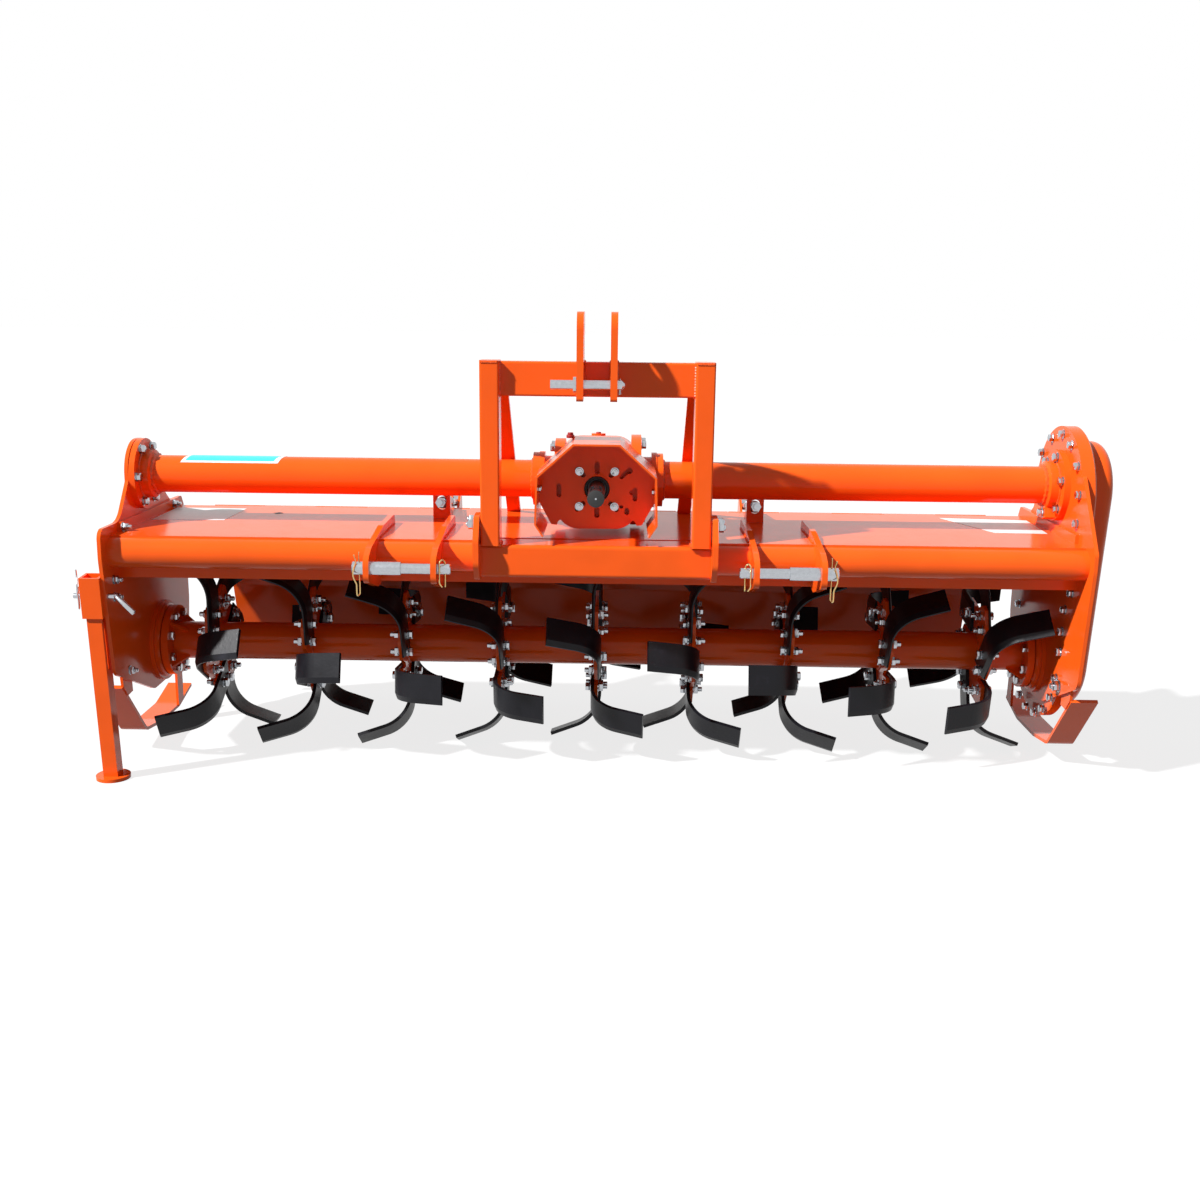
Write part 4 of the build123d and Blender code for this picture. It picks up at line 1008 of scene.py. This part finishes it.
class ROTAVATOR_OT_stage(bpy.types.Operator):
    """Set the floor, the sun, the world and the camera"""

    bl_idname = "rotavator.stage"
    bl_label = "Stage"

    camera_place = Vector((0.0418, -2.987, 1.051))
    camera_down = radians(12.911)
    camera_left = radians(0.667)
    camera_roll = radians(0.665)
    camera_lens = 39.08
    camera_sensor = 36
    sun_way = Vector((2.0, 1.25, -2.0))
    sun_spread = radians(2)
    sun_power = 6.0
    world_fill = 0.25
    floor_half = 40
    floor_grey = (0.18, 0.18, 0.18, 1)
    floor_glow = 0.8

    def floor(self, scene):
        """A wide floor that looks white and keeps the machine's shadow."""
        mesh = bpy.data.meshes.new("studio_floor")
        bm = bmesh.new()
        bmesh.ops.create_grid(bm, x_segments=1, y_segments=1, size=self.floor_half)
        bm.to_mesh(mesh)
        bm.free()
        floor = bpy.data.objects.new("studio_floor", mesh)
        scene.collection.objects.link(floor)
        pale = bpy.data.materials.new("floor_white")
        pale.use_nodes = True
        shader = pale.node_tree.nodes["Principled BSDF"]
        shader.inputs["Base Color"].default_value = self.floor_grey
        shader.inputs["Roughness"].default_value = 0.9
        shader.inputs["Specular IOR Level"].default_value = 0.0
        shader.inputs["Emission Color"].default_value = (1, 1, 1, 1)
        glow = backdrop_only(pale.node_tree, 0.0, self.floor_glow)
        pale.node_tree.links.new(glow, shader.inputs["Emission Strength"])
        floor.data.materials.append(pale)

    def lamps(self, scene):
        """One sun from above and the front left, and a pale world that fills the shade."""
        sun = bpy.data.lights.new("key_sun", "SUN")
        sun.angle = self.sun_spread
        sun.energy = self.sun_power
        lamp = bpy.data.objects.new("key_sun", sun)
        lamp.rotation_euler = self.sun_way.to_track_quat("-Z", "Y").to_euler()
        scene.collection.objects.link(lamp)
        world = bpy.data.worlds.new("studio_world")
        world.use_nodes = True
        background = world.node_tree.nodes["Background"]
        background.inputs["Color"].default_value = (1, 1, 1, 1)
        strength = backdrop_only(world.node_tree, self.world_fill, 1.0)
        world.node_tree.links.new(strength, background.inputs["Strength"])
        scene.world = world

    def camera(self, scene):
        """The camera, a little above the mast's top and looking slightly down."""
        forward = Vector((
            -sin(self.camera_left) * cos(self.camera_down),
            cos(self.camera_left) * cos(self.camera_down),
            -sin(self.camera_down),
        ))
        level = Vector((cos(self.camera_left), sin(self.camera_left), 0))
        upward = level.cross(forward)
        right = level * cos(self.camera_roll) + upward * sin(self.camera_roll)
        up = upward * cos(self.camera_roll) - level * sin(self.camera_roll)
        data = bpy.data.cameras.new("camera")
        data.lens = self.camera_lens
        data.sensor_width = self.camera_sensor
        camera = bpy.data.objects.new("camera", data)
        turn = Matrix((right, up, -forward)).transposed()
        camera.matrix_world = Matrix.Translation(self.camera_place) @ turn.to_4x4()
        scene.collection.objects.link(camera)
        scene.camera = camera

    def execute(self, context):
        self.floor(context.scene)
        self.lamps(context.scene)
        self.camera(context.scene)
        context.scene.view_settings.view_transform = "Standard"
        return {"FINISHED"}


# ---- add-on -------------------------------------------------------------------------------

OPERATORS = (
    ROTAVATOR_OT_finishes,
    ROTAVATOR_OT_plate_bolts,
    ROTAVATOR_OT_beam_bolts,
    ROTAVATOR_OT_blade_bolts,
    ROTAVATOR_OT_rotor_ends,
    ROTAVATOR_OT_gearbox_trim,
    ROTAVATOR_OT_mast_welds,
    ROTAVATOR_OT_mast_bolts,
    ROTAVATOR_OT_hitch_clips,
    ROTAVATOR_OT_board_springs,
    ROTAVATOR_OT_labels,
    ROTAVATOR_OT_stage,
)


class ROTAVATOR_PT_panel(bpy.types.Panel):
    """Lists the machine's pieces in the sidebar"""

    bl_idname = "ROTAVATOR_PT_panel"
    bl_label = "Rotavator"
    bl_space_type = "VIEW_3D"
    bl_region_type = "UI"
    bl_category = "Rotavator"

    def draw(self, context):
        column = self.layout.column()
        for group in (context.scene.rotavator_sizes, context.scene.rotavator_colours):
            for name in group.__annotations__:
                column.prop(group, name)
        for operator in OPERATORS:
            column.operator(operator.bl_idname)


CLASSES = (RotavatorSizes, RotavatorColours, *OPERATORS, ROTAVATOR_PT_panel)


def register():
    """Register the classes and hang the settings on the scene."""
    for cls in CLASSES:
        bpy.utils.register_class(cls)
    bpy.types.Scene.rotavator_sizes = bpy.props.PointerProperty(type=RotavatorSizes)
    bpy.types.Scene.rotavator_colours = bpy.props.PointerProperty(type=RotavatorColours)


def unregister():
    """Undo what register did."""
    del bpy.types.Scene.rotavator_colours
    del bpy.types.Scene.rotavator_sizes
    for cls in reversed(CLASSES):
        bpy.utils.unregister_class(cls)


def main():
    """Dress the machine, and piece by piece."""
    register()
    for operator in OPERATORS:
        group, name = operator.bl_idname.split(".")
        getattr(getattr(bpy.ops, group), name)()


if __name__ == "__main__":
    main()
